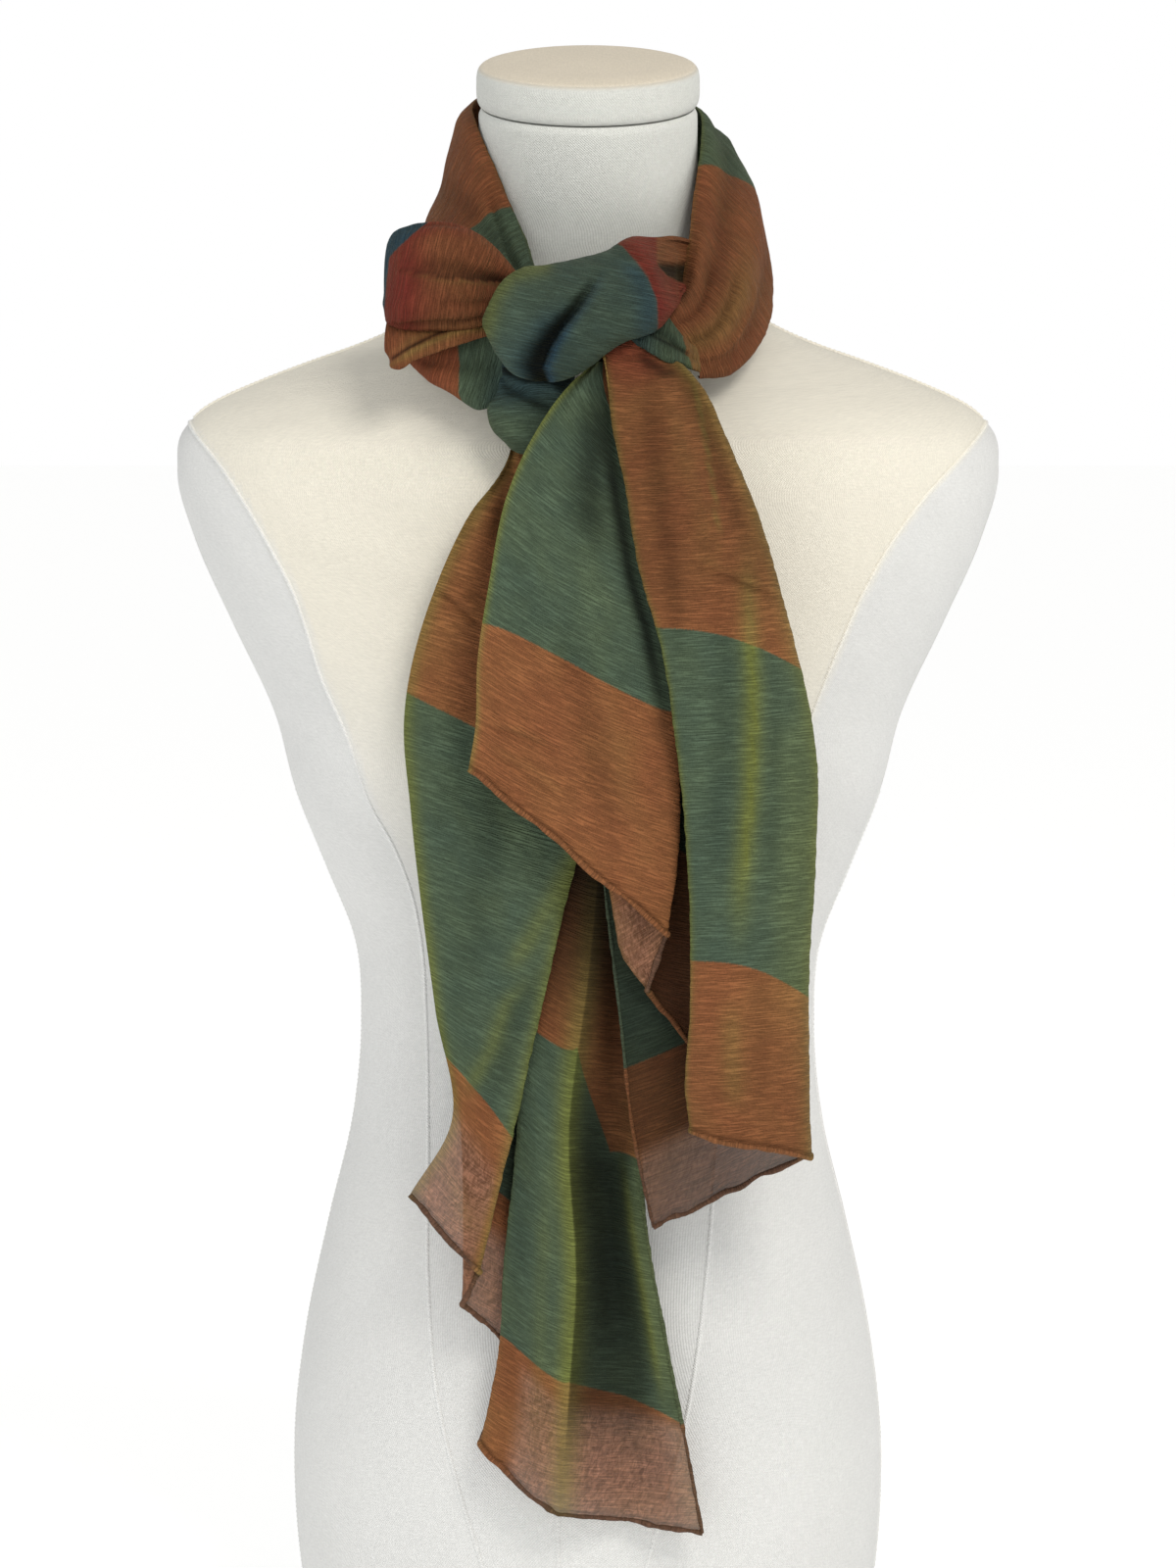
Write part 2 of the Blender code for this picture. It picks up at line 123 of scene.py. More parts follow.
SEAM_RADIUS = 1.15
SEAM_SUNK = 0.5
SEAM_STEP = 0.8
# How much lighter than the cover a seam is, for its pale stitches and a painted highlight on its raised cord,
# and how far its stitches swell
SEAM_LIGHTER = 1.06
STITCH_STEP = 2.4
STITCH_SWELL = 0.18
WEAVE_STEP = 1.3

# ---------------------------------------------------------------- the cloth's own sizes
# Cells of the tails' grids, and of the knot's
CELL_DOWN = 1.2
CELL_ACROSS = 2.2
KNOT_CELL = 0.9
# A rolled hem: its radius, how wide each side of it is, and how uneven it is: share, length and random seed
HEM_RADIUS = 1.0
HEM_SIDE = 0.6
HEM_UNEVEN = ((0.28, 5, 7), (0.16, 1.7, 8))
# Where the knot gathers a tail: what is left of its turns' reach, and the share of its length that it takes
GATHERED_REACH = 0.22
GATHER_END = 0.35
PLEAT_HEIGHT = 0.9
# How much golden sheen is painted on a fold's edge and on a crease, at most
FOLD_PAINTED_SHEEN = 0.85
CREASE_PAINTED_SHEEN = 0.8
# A hem's waves, which die out over this distance: which way, how high, how long and their random seed. Then
# the dark line along it: how far from the edge, and how wide
HEM_WAVE_REACH = 14
HEM_WAVES = ((BACK, 1.3, 13, 21), (UP, 1.1, 9, 22))
HEM_LINE = 2.0
HEM_LINE_WIDTH = 0.9
# How far a pad's edges turn under, in radians, and how deep, as a share of its bulge
TUCK = 0.55
TUCK_DEPTH = 0.35
# How far a block's edge bows up across the front tail's wide panel
BLOCK_BOW = 6.0
# How much painted shade a trough gets for each millimetre of its depth, to the deepest trough that still adds
# to it
TROUGH_PAINTED_SHADE = 0.13
DARKEST_TROUGH = 4
# How much painted shade a stretch of the knot gets, from 0 at the front to 1, where nothing is said
KNOT_PAINTED_SHADE = 0.42
# The neck's wrap laid out, for its marks
WRAP_LENGTH = 420
WRAP_WIDTH = 90

# Marks in the cloth: how long they are across it and down it
THREADS_ACROSS = (3.0, 0.40)
THREADS_DOWN = (0.40, 2.2)
FURROWS = (14.0, 0.75)
VEINS = (2.4, 5.0)
CLOUDS = (34.0, 40.0)
# Its uneven surface, from fine crinkle to soft waves: share of the height, size across and down, and slant
CRINKLES = ((0.9, 11, 2.3, 0), (0.8, 24, 5.2, 0.4), (1.6, 38, 30, 0))

# A pad's section: upper edge, lower edge, and how far the cloth between them stands out
Pad = namedtuple("Pad", "upper lower bulge")
KNOT_CROSS = (
    Pad((52, -52, 679), (51, -64, 660), (0, 2, 0)),
    Pad((42, -72, 681.5), (45, -86, 655), (0, 3, 0)),
    Pad((31, -91, 681), (42, -98, 649), (0, -8, 0)),
    Pad((21, -94, 681), (40, -108, 647), (0, -20, 2)),
    Pad((8, -93, 674), (32, -117, 638), (0, -24, 4)),
    Pad((-6, -92, 670.4), (14, -122, 631), (0, -27, 4)),
    Pad((-19, -95, 668), (-1, -122, 620), (0, -27, 3)),
    Pad((-29, -101, 667), (-14, -119, 615), (-1, -24, 2)),
    Pad((-37, -104, 662), (-27, -116, 616), (-4, -19, 0)),
    Pad((-42, -105, 653), (-36, -112, 623), (-5, -13, 0)),
    Pad((-44, -104, 647), (-42, -107, 635), (-4, -5, 0)),
)
KNOT_WRAP = (
    Pad((-38, -88, 634), (0, -92, 634), (0, -2, 0)),
    Pad((-39, -92, 624), (-3, -97, 624), (0, -3, 0)),
    Pad((-40, -94, 611), (-7, -100, 610), (-2, -8, 0)),
    Pad((-45, -93, 602), (-10, -101, 599), (-2, -11, 0)),
    Pad((-43, -94, 593), (-16, -102, 589), (-1, -11, -2)),
    Pad((-36, -96, 586), (-22, -100, 583), (0, -5, -3)),
)
LOOP_FAN = (
    Pad((-31, -92, 664), (-35, -92, 646), (0, -2, 0)),
    Pad((-41, -93, 676), (-46, -92, 640), (0, -7, 0)),
    Pad((-50, -93, 683), (-58, -92, 637.5), (0, -13, 0)),
    Pad((-59, -93, 687), (-70, -92, 637.5), (0, -15, 0)),
    Pad((-71, -92, 688), (-80, -91, 638), (-1, -13, 0)),
    Pad((-82, -90, 686), (-87, -89, 639), (-1, -10, 0)),
    Pad((-88.5, -87, 683), (-91.5, -86, 641), (0, -6, 0)),
    Pad((-91, -82, 676), (-91.5, -81, 645), (-1.5, 0, 0)),
    Pad((-86, -78, 678), (-86, -78, 642), (-1, 2, 0)),
    Pad((-66, -77, 680), (-68, -77, 640), (0, 2, 0)),
)
LOOP_FAN_LIP = (
    Pad((-42, -86, 645), (-44, -93, 636), (0, -2, 0)),
    Pad((-55, -84, 644), (-56, -95, 632), (0, -4, 0)),
    Pad((-67, -84, 643.5), (-68, -97, 628), (0, -5, 0)),
    Pad((-78, -83, 643.5), (-79, -98, 624), (0, -5, 0)),
    Pad((-86, -82, 644), (-87, -97, 620.5), (0, -4, 0)),
    Pad((-91, -80, 644), (-92, -93, 628), (-1, -2, 0)),
)
UNDER_BAND = (
    Pad((-80, -72, 632), (-83, -76, 624), (0, -2, 0)),
    Pad((-70, -75, 634), (-73, -82, 615), (0, -6, 0)),
    Pad((-58, -78, 638), (-62, -85, 609), (0, -8, 0)),
    Pad((-47, -82, 641), (-51, -90, 602), (0, -8, 0)),
    Pad((-34, -88, 640), (-40, -92, 604), (0, -4, 0)),
)
KNOT_GATHER = (
    Pad((14, -97, 654), (14, -105, 634), (0, -2, 0)),
    Pad((23, -104, 652), (24, -117, 631), (0, -3, 0)),
    Pad((33, -101, 649), (34, -119, 625), (1, -4, 1)),
    Pad((42, -104, 637), (43, -115, 622), (2, -4, 1)),
    Pad((50, -97, 631), (52, -107, 619), (1, -3, 0)),
)
# The stretch round the neck, from the knot, round the left, back and right, to the knot again
NECK_WRAP = (
    Pad((-22, -72, 662), (-34, -82, 648), (-2, -5, 3)),
    Pad((-28, -56, 681), (-53, -74, 656), (-5, -9, 4)),
    Pad((-36, -48.5, 698), (-64, -60, 660), (-6, -8, 4)),
    Pad((-43.5, -42, 716), (-71, -42, 664), (-6, -5, 3)),
    Pad((-51, -28, 734), (-74, -20, 670), (-6, -1, 2)),
    Pad((-53.4, -6, 744), (-73, 6, 676), (-6, 2, 2)),
    Pad((-46, 18, 750), (-62, 34, 682), (-6, 6, 2)),
    Pad((-29, 32, 752), (-38, 53, 686), (-4, 9, 2)),
    Pad((1, 37.5, 753), (1, 62, 688), (0, 11, 2)),
    Pad((31, 32, 750), (40, 53, 688), (4, 9, 2)),
    Pad((47, 16, 746), (64, 34, 682), (8, 6, 2)),
    Pad((54, -6, 740), (79, 8, 674), (10, 2, 2)),
    Pad((54, -24, 726), (84, -14, 658), (11, -3, 2)),
    Pad((50, -44, 700), (83, -38, 643), (10, -9, 1)),
    Pad((47, -62, 676), (77, -60, 629), (8, -12, 0)),
    Pad((42, -78, 656), (65, -76, 617), (5, -11, 0)),
    Pad((33, -90, 648), (52, -88, 616), (3, -6, 0)),
)

# A fold of a tail: which way the cloth turns there and how wide the turn is, how far from the hem its end
# block and its middle block reach, how much golden sheen is painted along the fold's edge and how wide, and
# its places, top to hem
Fold = namedtuple("Fold", "turn reach end middle gold rim places")
TAIL_FRONT = (
    Fold("edge", 0, 66, 225, 1.0, 2.2,
        ((4, -116, 624), (-8, -119, 613), (-23, -125, 592), (-35, -134, 566), (-44, -142, 523),
         (-49, -146, 489), (-50, -148, 459), (-53, -148, 441))),
    Fold("back", 24, 103, 225, 0.0, 1,
        ((12, -114.5, 624), (20, -124, 585), (29, -134, 550), (36, -141, 505), (41, -143, 469),
         (43, -144, 424), (41, -144, 390), (37, -144, 366))),
    Fold("back", 24, 90, 225, 0.3, 3,
        ((0, -111.5, 622), (-9, -118, 590), (-12, -128, 550), (-8, -135, 505), (0, -137, 469),
         (7, -138, 433), (12, -138, 376), (17, -138, 353), (28, -138, 338))),
    Fold("front", 40, 85, 225, 0.0, 1,
        ((20, -113, 632), (22, -114, 620), (32, -122, 585), (42, -133, 550), (52, -141, 505),
         (58, -143, 469), (62, -144, 420), (62, -144, 370), (56, -144, 303))),
    Fold("front", 24, 79, 231, 1.0, 2.4,
        ((5, -112, 637), (8, -119, 626), (12, -128, 595), (19, -142, 560), (25, -149, 527), (32, -152, 504),
         (42, -154, 442), (47, -154, 376), (47, -154, 331), (45, -153, 293), (47, -153, 276))),
    Fold("back", 60, 73, 223, 0.9, 9,
        ((26, -106, 643), (36, -112, 631.5), (54, -121, 611), (63, -128, 592), (74, -134, 566),
         (90, -141, 514), (104, -142, 452), (104, -142, 389), (102, -142, 359), (103, -142, 263))),
    Fold("edge", 0, 75, 225, 0.0, 1,
        ((6, -107, 620), (4, -122, 540), (1, -128, 477), (7, -130, 402), (16, -130, 323), (22, -130, 270),
         (31, -130, 228))),
)
TAIL_BACK = (
    Fold("edge", 0, 70, 239, 0.9, 4.5,
        ((-33, -95.4, 588), (-39, -101, 573), (-52, -111, 556), (-68, -118, 523), (-83, -124, 460),
         (-80, -125, 420), (-69, -124, 328), (-62, -123, 275), (-81, -121, 242))),
    Fold("back", 20, 65, 226, 0.9, 5,
        ((-12, -95, 587), (-8, -113, 520), (-3, -121, 455), (-3, -123, 407), (-12, -124, 364),
         (-22, -124, 320), (-34, -123, 268), (-49, -122, 205))),
    Fold("back", 24, 65, 231, 0.0, 1,
        ((-28, -89.5, 588), (-54, -110, 530), (-75, -117, 455), (-73, -118, 400), (-63, -118, 330),
         (-57, -118, 260), (-57, -118, 191))),
    Fold("front", 16, 60, 225, 0.0, 1,
        ((-10, -87, 588), (-4, -105, 530), (-2, -112, 455), (-4, -113, 380), (-10, -113, 300),
         (-22, -113, 220), (-32, -114, 165))),
    Fold("front", 16, 52, 197, 0.2, 3,
        ((-24, -88.5, 589), (-34, -108, 530), (-38, -115, 455), (-34, -116, 380), (-32, -116, 272),
         (-38, -116, 210), (-41, -117, 163), (-49, -118, 124))),
    Fold("wave", 16, 63, 219, 1.1, 7,
        ((-2, -91, 589), (4, -110, 520), (8, -117, 455), (6, -120, 400), (1, -121, 345), (-8, -123, 272),
         (-5, -124, 199), (-8, -124, 152), (-12, -124, 92))),
    Fold("wave", 16, 58, 172, 0.0, 1,
        ((5, -88, 589), (16, -103, 520), (20, -110, 455), (18, -111, 345), (11, -111, 250), (17, -111, 159),
         (19, -112, 88))),
    Fold("edge", 0, 53, 178, 0.3, 8,
        ((10, -88, 588), (26, -107, 520), (38, -113, 455), (38, -116, 380), (26, -118, 300),
         (27, -118, 231), (37, -118, 173), (47, -118, 121), (54, -118, 82))),
)
TURN_DIRECTION = {"edge": (0, 0, 0), "back": BACK, "front": FORWARD, "wave": (1, 0, 0)}

# A soft ridge (height over 0) or trough on a tail: how wide it is, how much golden sheen is painted on it
# (or, under 0, how much painted shade it gets), and the places (across, up) that it runs through as seen from
# the front. Each group lies between two folds
Crease = namedtuple("Crease", "height width gold places")
CREASES_FRONT = {
    (4, 5): (
        Crease(1.9, 5, 1.0, ((72, 560), (73, 520), (75, 478), (74, 434), (70, 389), (69, 345))),
        Crease(0.9, 1.3, 0.6, ((73, 540), (74, 500), (76, 460), (73, 410), (70, 375))),
        Crease(-1.6, 6, 0.0, ((62, 530), (63, 478), (61, 430), (58, 372))),
        Crease(-1.2, 3.5, 0.0, ((83, 520), (85, 470), (84, 420), (80, 370))),
        Crease(1.3, 1.6, 0.1, ((45, 540), (63, 531), (92, 519))),
        Crease(-1.5, 1.8, 0.0, ((50, 534), (64, 528), (92, 515.5))),
        Crease(-0.9, 1.0, 0.0, ((60, 531), (61, 508))),
        Crease(-2.6, 5, 0.0, ((26, 632), (31, 576), (38, 530), (46, 470))),
        Crease(2.2, 5, 0.2, ((33, 630), (42, 590), (52, 556), (58, 520))),
        Crease(1.0, 1.0, 0.9, ((47, 622), (51, 606), (55, 585), (59, 556), (61, 535))),
        Crease(-2.2, 4, 0.0, ((40, 632), (54, 594), (66, 560), (76, 530))),
        Crease(-1.2, 3.0, -0.6, ((20, 632), (28, 624), (36, 619), (45, 620))),
        Crease(1.2, 2.5, 0.3, ((38, 630), (44, 622), (51, 614))),
        Crease(1.2, 8, 0.3, ((92, 480), (95, 420), (92, 360), (94, 300))),
        Crease(-1.2, 6, 0.0, ((80, 360), (78, 320), (80, 280))),
        Crease(0.8, 5, 0.5, ((66, 340), (66, 310), (68, 282))),
    ),
    (0, 1): (
        Crease(-1.0, 8, -0.55, ((8, 622), (4, 588), (1, 560), (10, 530))),
        Crease(-0.5, 3.5, -0.85, ((5, 626), (9, 592), (14, 560), (20, 527), (27, 504), (34, 470), (38, 430))),
        Crease(1.8, 9, 0.0, ((-4, 596), (-14, 560), (-20, 514), (-18, 462))),
        Crease(-1.8, 7, 0.0, ((-10, 520), (-4, 480), (6, 440), (16, 405))),
        Crease(1.8, 6, 0.1, ((0, 520), (10, 470), (20, 430), (30, 390))),
        Crease(0.9, 1.8, 0.1, ((-48, 464), (-30, 458), (-12, 450))),
        Crease(-0.9, 1.4, 0.0, ((-48, 461), (-28, 455), (-10, 446))),
        Crease(0.8, 2.0, 0.1, ((-47, 453), (-22, 440), (-6, 426))),
        Crease(-0.8, 1.4, 0.0, ((-46, 449), (-24, 436), (-8, 424))),
    ),
    (5, 6): (
        Crease(-2.0, 12, 0.0, ((40, 420), (50, 340), (62, 260))),
    ),
}
CREASES_BACK = {
    (0, 1): (
        Crease(-1.8, 1.5, 0.0, ((-72, 523), (-58, 512), (-45, 501))),
        Crease(0.9, 1.5, 0.0, ((-72, 527), (-60, 519), (-49, 511))),
        Crease(1.8, 5, 0.6, ((-3, 410), (-15, 380), (-26, 360), (-40, 340))),
        Crease(1.8, 4, 0.6, ((-19, 350), (-36, 332), (-43, 311), (-51, 296), (-58, 284))),
        Crease(-1.9, 5, 0.0, ((-12, 352), (-30, 328), (-38, 300), (-50, 272))),
        Crease(-1.6, 7, 0.0, ((-28, 480), (-40, 420), (-50, 370), (-58, 320))),
        Crease(1.4, 9, 0.1, ((-50, 560), (-66, 500), (-70, 440))),
        Crease(-3.0, 4, 0.0, ((-32, 584), (-38, 564), (-40, 535))),
        Crease(1.4, 3, 0.2, ((-40, 582), (-46, 564), (-52, 540))),
        Crease(0.9, 4, 0.2, ((-66, 262), (-58, 240), (-52, 222))),
    ),
    (4, 5): (
        Crease(-1.3, 5, 0.0, ((-26, 300), (-30, 240), (-34, 180), (-38, 120))),
        Crease(0.8, 4, 0.3, ((-16, 270), (-20, 210), (-22, 150), (-24, 110))),
    ),
    (5, 7): (
        Crease(-5.0, 9, 0.0, ((0, 300), (4, 262), (8, 228), (12, 190), (14, 150))),
        Crease(2.2, 5, 0.2, ((18, 262), (24, 223), (30, 180), (36, 140))),
        Crease(1.0, 2.0, 0.7, ((15, 270), (20, 232), (28, 184), (38, 130))),
        Crease(-1.2, 4, 0.0, ((16, 150), (20, 130), (28, 100))),
        Crease(1.0, 4, 0.0, ((4, 150), (10, 110), (16, 86))),
    ),
}

# A ridge or trough on a pad or wrap: from where to where, as shares of its rows and of its width, and its
# height and width in millimetres
Ridge = namedtuple("Ridge", "start end height width")
RIDGES_WRAP = (
    Ridge((0.00, 0.34), (0.13, 0.20), -2.6, 3),
    Ridge((0.00, 0.20), (0.12, 0.06), 1.8, 2.5),
    Ridge((0.46, 0.50), (0.66, 0.56), -2.6, 4),
    Ridge((0.40, 0.88), (0.58, 0.84), -2.0, 4),
    Ridge((0.52, 0.30), (0.70, 0.34), 1.8, 4),
    Ridge((0.86, 0.44), (1.00, 0.50), -2.2, 2),
    Ridge((0.84, 0.60), (1.00, 0.66), 1.6, 2),
    Ridge((0.88, 0.28), (1.00, 0.32), -1.6, 2),
    Ridge((0.00, 0.30), (0.20, 0.45), -2.2, 6),
    Ridge((0.02, 0.62), (0.30, 0.70), 2.0, 8),
    Ridge((0.10, 0.12), (0.34, 0.25), 1.6, 7),
    Ridge((0.00, 0.50), (0.08, 0.30), 2.0, 3),
    Ridge((0.12, 0.52), (0.45, 0.55), -1.8, 9),
    Ridge((0.30, 0.78), (0.60, 0.80), -2.0, 9),
    Ridge((0.34, 0.34), (0.66, 0.38), 1.8, 10),
    Ridge((0.45, 0.18), (0.74, 0.22), -1.6, 7),
    Ridge((0.42, 0.62), (0.70, 0.66), 1.6, 9),
    Ridge((0.64, 0.48), (1.00, 0.52), 2.2, 7),
    Ridge((0.66, 0.30), (0.98, 0.30), -2.4, 7),
    Ridge((0.72, 0.66), (0.99, 0.72), -1.8, 6),
    Ridge((0.78, 0.84), (0.94, 0.88), 1.6, 5),
    Ridge((0.74, 0.95), (0.92, 0.92), -1.8, 4),
    Ridge((0.84, 0.14), (1.00, 0.20), 1.6, 5),
)
RIDGES_CROSS = (
    Ridge((0.34, 0.30), (0.50, 0.70), 1.6, 8),
    Ridge((0.68, 0.22), (0.90, 0.46), 2.0, 8),
    Ridge((0.26, 0.24), (0.42, 0.60), -1.0, 5),
    Ridge((0.20, 0.30), (0.34, 0.85), 1.0, 5),
    Ridge((0.74, 0.50), (0.84, 0.90), 0.9, 3),
)
# The cross's deep fold: at each height, where the upper lobe's edge is, how far the hollow under it reaches
# to the left, and how much painted shade it gets and how far back it sinks. Then its most depth, its lip's
# width, and the height of the lobe
Hollow = namedtuple("Hollow", "height edge reach dark")
CROSS_HOLLOW = (Hollow(610, -17, 8, 0.90), Hollow(616, -17.5, 11, 0.97), Hollow(622, -19.3, 12, 0.98),
                Hollow(631, -15.6, 12, 0.98), Hollow(640, -10, 8, 0.92), Hollow(647, -4.4, 5, 0.72),
                Hollow(655, 1, 4, 0.40), Hollow(662, 5, 4, 0.15), Hollow(668, 8, 4, 0))
HOLLOW_DEPTH = 16
HOLLOW_LIP = 1.3
LOBE_HEIGHT = 2.4
# Lines on the knot, from the front. Where the cross turns to rust and the fan to navy: heights, and the
# places across at each. The edge of the cross's end, in front of the throat in painted shade: places across,
# and the heights at each. The fan's long crest, and the roll of its lip: places (across, up)
CROSS_RUST = ((634, 642, 652, 662, 669.5, 676, 682), (32.8, 32.8, 32.2, 28.3, 22.9, 17.3, 9))
CROSS_THROAT = ((31, 33, 37.3, 43.4, 48), (673, 667.5, 662.5, 659.8, 659))
THROAT_DEPTH = 5
FAN_NAVY = ((640, 660, 671, 673, 679.6, 685, 688), (-93.2, -91.6, -90.4, -89, -82, -76, -72))
FAN_CREST = ((-84, 665.5), (-71.6, 662.8), (-58, 661), (-38, 660))
LIP_ROLL = ((-89, 622), (-80.5, 627.5), (-71.6, 632), (-60, 636.5), (-43, 638.8))
RIDGES_FAN = (
    Ridge((-0.05, 0.44), (0.50, 0.44), -3.0, 3.5),
    Ridge((-0.05, 0.26), (0.55, 0.20), 1.3, 6),
    Ridge((-0.02, 0.74), (0.62, 0.90), -2.4, 2.5),
    Ridge((-0.02, 0.62), (0.40, 0.66), -1.4, 2.0),
    Ridge((0.30, 0.08), (0.62, 0.12), -1.2, 4),
    Ridge((0.36, 0.66), (0.74, 0.72), 1.2, 4),
)
RIDGES_LIP = (
    Ridge((0.00, 0.30), (0.75, 0.25), -2.2, 1.4),
    Ridge((0.10, 0.70), (0.95, 0.60), 0.8, 1.4),
)
RIDGES_BAND = (
    Ridge((0.10, 0.55), (1.05, 0.45), -1.6, 4),
    Ridge((0.20, 0.20), (1.05, 0.22), 1.0, 4),
    Ridge((0.45, 0.80), (1.05, 0.75), 1.0, 3),
)
RIDGES_KNOT_WRAP = (
    Ridge((0.28, -0.10), (0.66, 0.95), -3.0, 2.4),
    Ridge((0.10, 0.10), (0.46, 0.80), 1.5, 3),
    Ridge((0.00, 0.45), (0.30, 0.95), -1.2, 2.4),
    Ridge((0.60, 0.10), (0.90, 0.85), 0.9, 3),
)
RIDGES_GATHER = (
    Ridge((-0.05, 0.45), (1.00, 0.55), -2.2, 2.0),
    Ridge((-0.05, 0.18), (1.00, 0.25), 1.0, 1.8),
    Ridge((-0.05, 0.78), (0.90, 0.82), 0.8, 1.8),
)

# Along the neck's wrap, in rows of its table: where the green by the knot ends, and where the green at the
# back starts and ends, each halfway across it
KNOT_GREEN_END = 1.85
BACK_GREEN = (6.0, 11.4)
# More lines on the knot, as places (across, up): the lit edge of the cross's lobe, with a painted highlight,
# the pocket of painted shade and the crest of the wrap under it, and the line of painted shade between the
# facets of the gather
LOBE_EDGE = ((-46, 638), (-42, 654), (-34, 664), (-20, 668))
WRAP_POCKET = ((-37, 620), (-26, 616.5), (-8, 616))
WRAP_CREST = ((-38, 616), (-27, 612.5), (-16, 612), (-8, 609))
GATHER_FACETS = ((24, 640), (34, 634), (46, 628))

# The crumpled core of the knot: its gap inside its own box, how rough it is, and its grid
FILL_GAP = 0.6
FILL_CRUMPLE = 0.05
FILL_SIDES = 96
FILL_ROWS = 60

# ---------------------------------------------------------------- colours, linear
GREEN = (0.071, 0.107, 0.072)
RUST = (0.252, 0.093, 0.037)
# The golden sheen of each block: painted as a highlight on folds and creases, and mixed in at random in
# clouds
GREEN_GOLD = (0.150, 0.170, 0.042)
RUST_GOLD = (0.240, 0.165, 0.048)
RED = (0.230, 0.024, 0.022)
BLUE = (0.016, 0.058, 0.105)
SINGLE = (0.260, 0.130, 0.084)
SINGLE_GREEN = (0.085, 0.115, 0.075)
SHEEN_TINT = (0.80, 0.78, 0.30)
HEM_COLOUR = (0.060, 0.036, 0.027)
FORM_COOL = (0.760, 0.762, 0.745)
FORM_WARM = (0.840, 0.800, 0.690)
# The neck, darker and greyer as painted shade under the cap, and the cap's top, warmer and darkened with
# painted shade
NECK_SHADED_COLOUR = (0.655, 0.665, 0.625)
CAP_TOP_SHADED_COLOUR = (0.680, 0.610, 0.490)
CHIFFON_FINISH = {"Roughness": 0.72, "Sheen Weight": 0.05, "Sheen Roughness": 0.35,
                  "Sheen Tint": (*SHEEN_TINT, 1), "Specular IOR Level": 0.1}
JERSEY_FINISH = {"Roughness": 0.92, "Sheen Weight": 0.1, "Specular IOR Level": 0.2}


# ---------------------------------------------------------------- numbers and lines
def smooth_step(x, low, high):
    """0 up to low, 1 past high, and smooth between. It falls where high is under low."""
    share = np.clip((np.asarray(x, float) - low) / (high - low), 0, 1)
    return share * share * (3 - 2 * share)


def between(x, rise, fall):
    """0, then smoothly up to 1 over the two places of rise, and down to 0 again over the two of fall."""
    return smooth_step(x, *rise) * smooth_step(x, *reversed(fall))


def bell(away, width):
    """1 on a line, and falling off smoothly with the distance away from it."""
    return np.exp(-((away / width) ** 2))


def smooth_rows(rows, at, where):
    """Rows of numbers known at the places at, read at the places where, on a smooth line through them."""
    rows = np.array(rows, float)
    slope = np.gradient(rows, at, axis=0)
    k = np.clip(np.searchsorted(at, where, side="right") - 1, 0, len(at) - 2)
    step = (at[k + 1] - at[k])[:, None]
    u = (where - at[k])[:, None] / step
    start = rows[k] * (2 * u**3 - 3 * u**2 + 1) + slope[k] * step * (u**3 - 2 * u**2 + u)
    end = rows[k + 1] * (3 * u**2 - 2 * u**3) + slope[k + 1] * step * (u**3 - u**2)
    return start + end


def along(rows, count):
    """A smooth line through rows that begin with a place, read at count even steps of its length."""
    rows = np.array(rows, float)
    steps = np.linalg.norm(np.diff(rows[:, :3], axis=0), axis=1)
    at = np.concatenate([[0], np.cumsum(steps)])
    return smooth_rows(rows, at, np.linspace(0, at[-1], count))


def rough(across, down, size_across, size_down, seed):
    """Uneven heights from -1 to 1 that vary over the two sizes, smooth between."""
    lattice = np.random.default_rng(seed).uniform(-1, 1, (512, 512))
    u, v = across / size_across, down / size_down
    i, j = np.floor(u).astype(int), np.floor(v).astype(int)
    a, b = smooth_step(u - i, 0, 1), smooth_step(v - j, 0, 1)

    def at(x, y):
        return lattice[x % 512, y % 512]

    near = at(i, j) * (1 - a) + at(i + 1, j) * a
    return near * (1 - b) + (at(i, j + 1) * (1 - a) + at(i + 1, j + 1) * a) * b


def grid_normals(grid):
    normal = np.cross(np.gradient(grid, axis=0), np.gradient(grid, axis=1))
    return normal / np.maximum(np.linalg.norm(normal, axis=2, keepdims=True), 1e-9)


def lengths(grid, axis):
    """How far each point of the grid lies along the rows (0) or across them (1), on the cloth."""
    steps = np.linalg.norm(np.diff(grid, axis=axis), axis=2)
    zero = np.zeros_like(steps.take([0], axis=axis))
    return np.concatenate([zero, np.cumsum(steps, axis=axis)], axis=axis)


def distance_to(points, places):
    """How far each flat point lies from the line through the places, and its share of the way along it."""
    places = np.array(places, float)
    best = np.full(points.shape[:-1], np.inf)
    share = np.zeros(points.shape[:-1])
    count = len(places) - 1
    for k in range(count):
        step = places[k + 1] - places[k]
        t = np.clip((points - places[k]) @ step / (step @ step), 0, 1)
        away = np.linalg.norm(points - places[k] - t[..., None] * step, axis=-1)
        nearer = away < best
        best = np.where(nearer, away, best)
        share = np.where(nearer, (k + t) / count, share)
    return best, share


# ---------------------------------------------------------------- materials
def node(tree, kind, inputs=None, **settings):
    made = tree.nodes.new(kind)
    for key, value in settings.items():
        setattr(made, key, value)
    for key, value in (inputs or {}).items():
        if isinstance(value, bpy.types.NodeSocket):
            tree.links.new(value, made.inputs[key])
        else:
            made.inputs[key].default_value = value
    return made


def mix(tree, factor, first, second, blend="MIX"):
    """The first colour changed towards the second. Inputs 6 and 7 are a Mix node's two colours."""
    colours = [(*c, 1) if isinstance(c, tuple) else c for c in (first, second)]
    inputs = {0: factor, 6: colours[0], 7: colours[1]}
    return node(tree, "ShaderNodeMix", inputs, data_type="RGBA", blend_type=blend).outputs[2]


def calc(tree, operation, first, second=0.0):
    return node(tree, "ShaderNodeMath", {0: first, 1: second}, operation=operation).outputs[0]


def spread(tree, value, low, high, to_low, to_high):
    inputs = {"Value": value, "From Min": low, "From Max": high, "To Min": to_low, "To Max": to_high}
    return node(tree, "ShaderNodeMapRange", inputs).outputs["Result"]


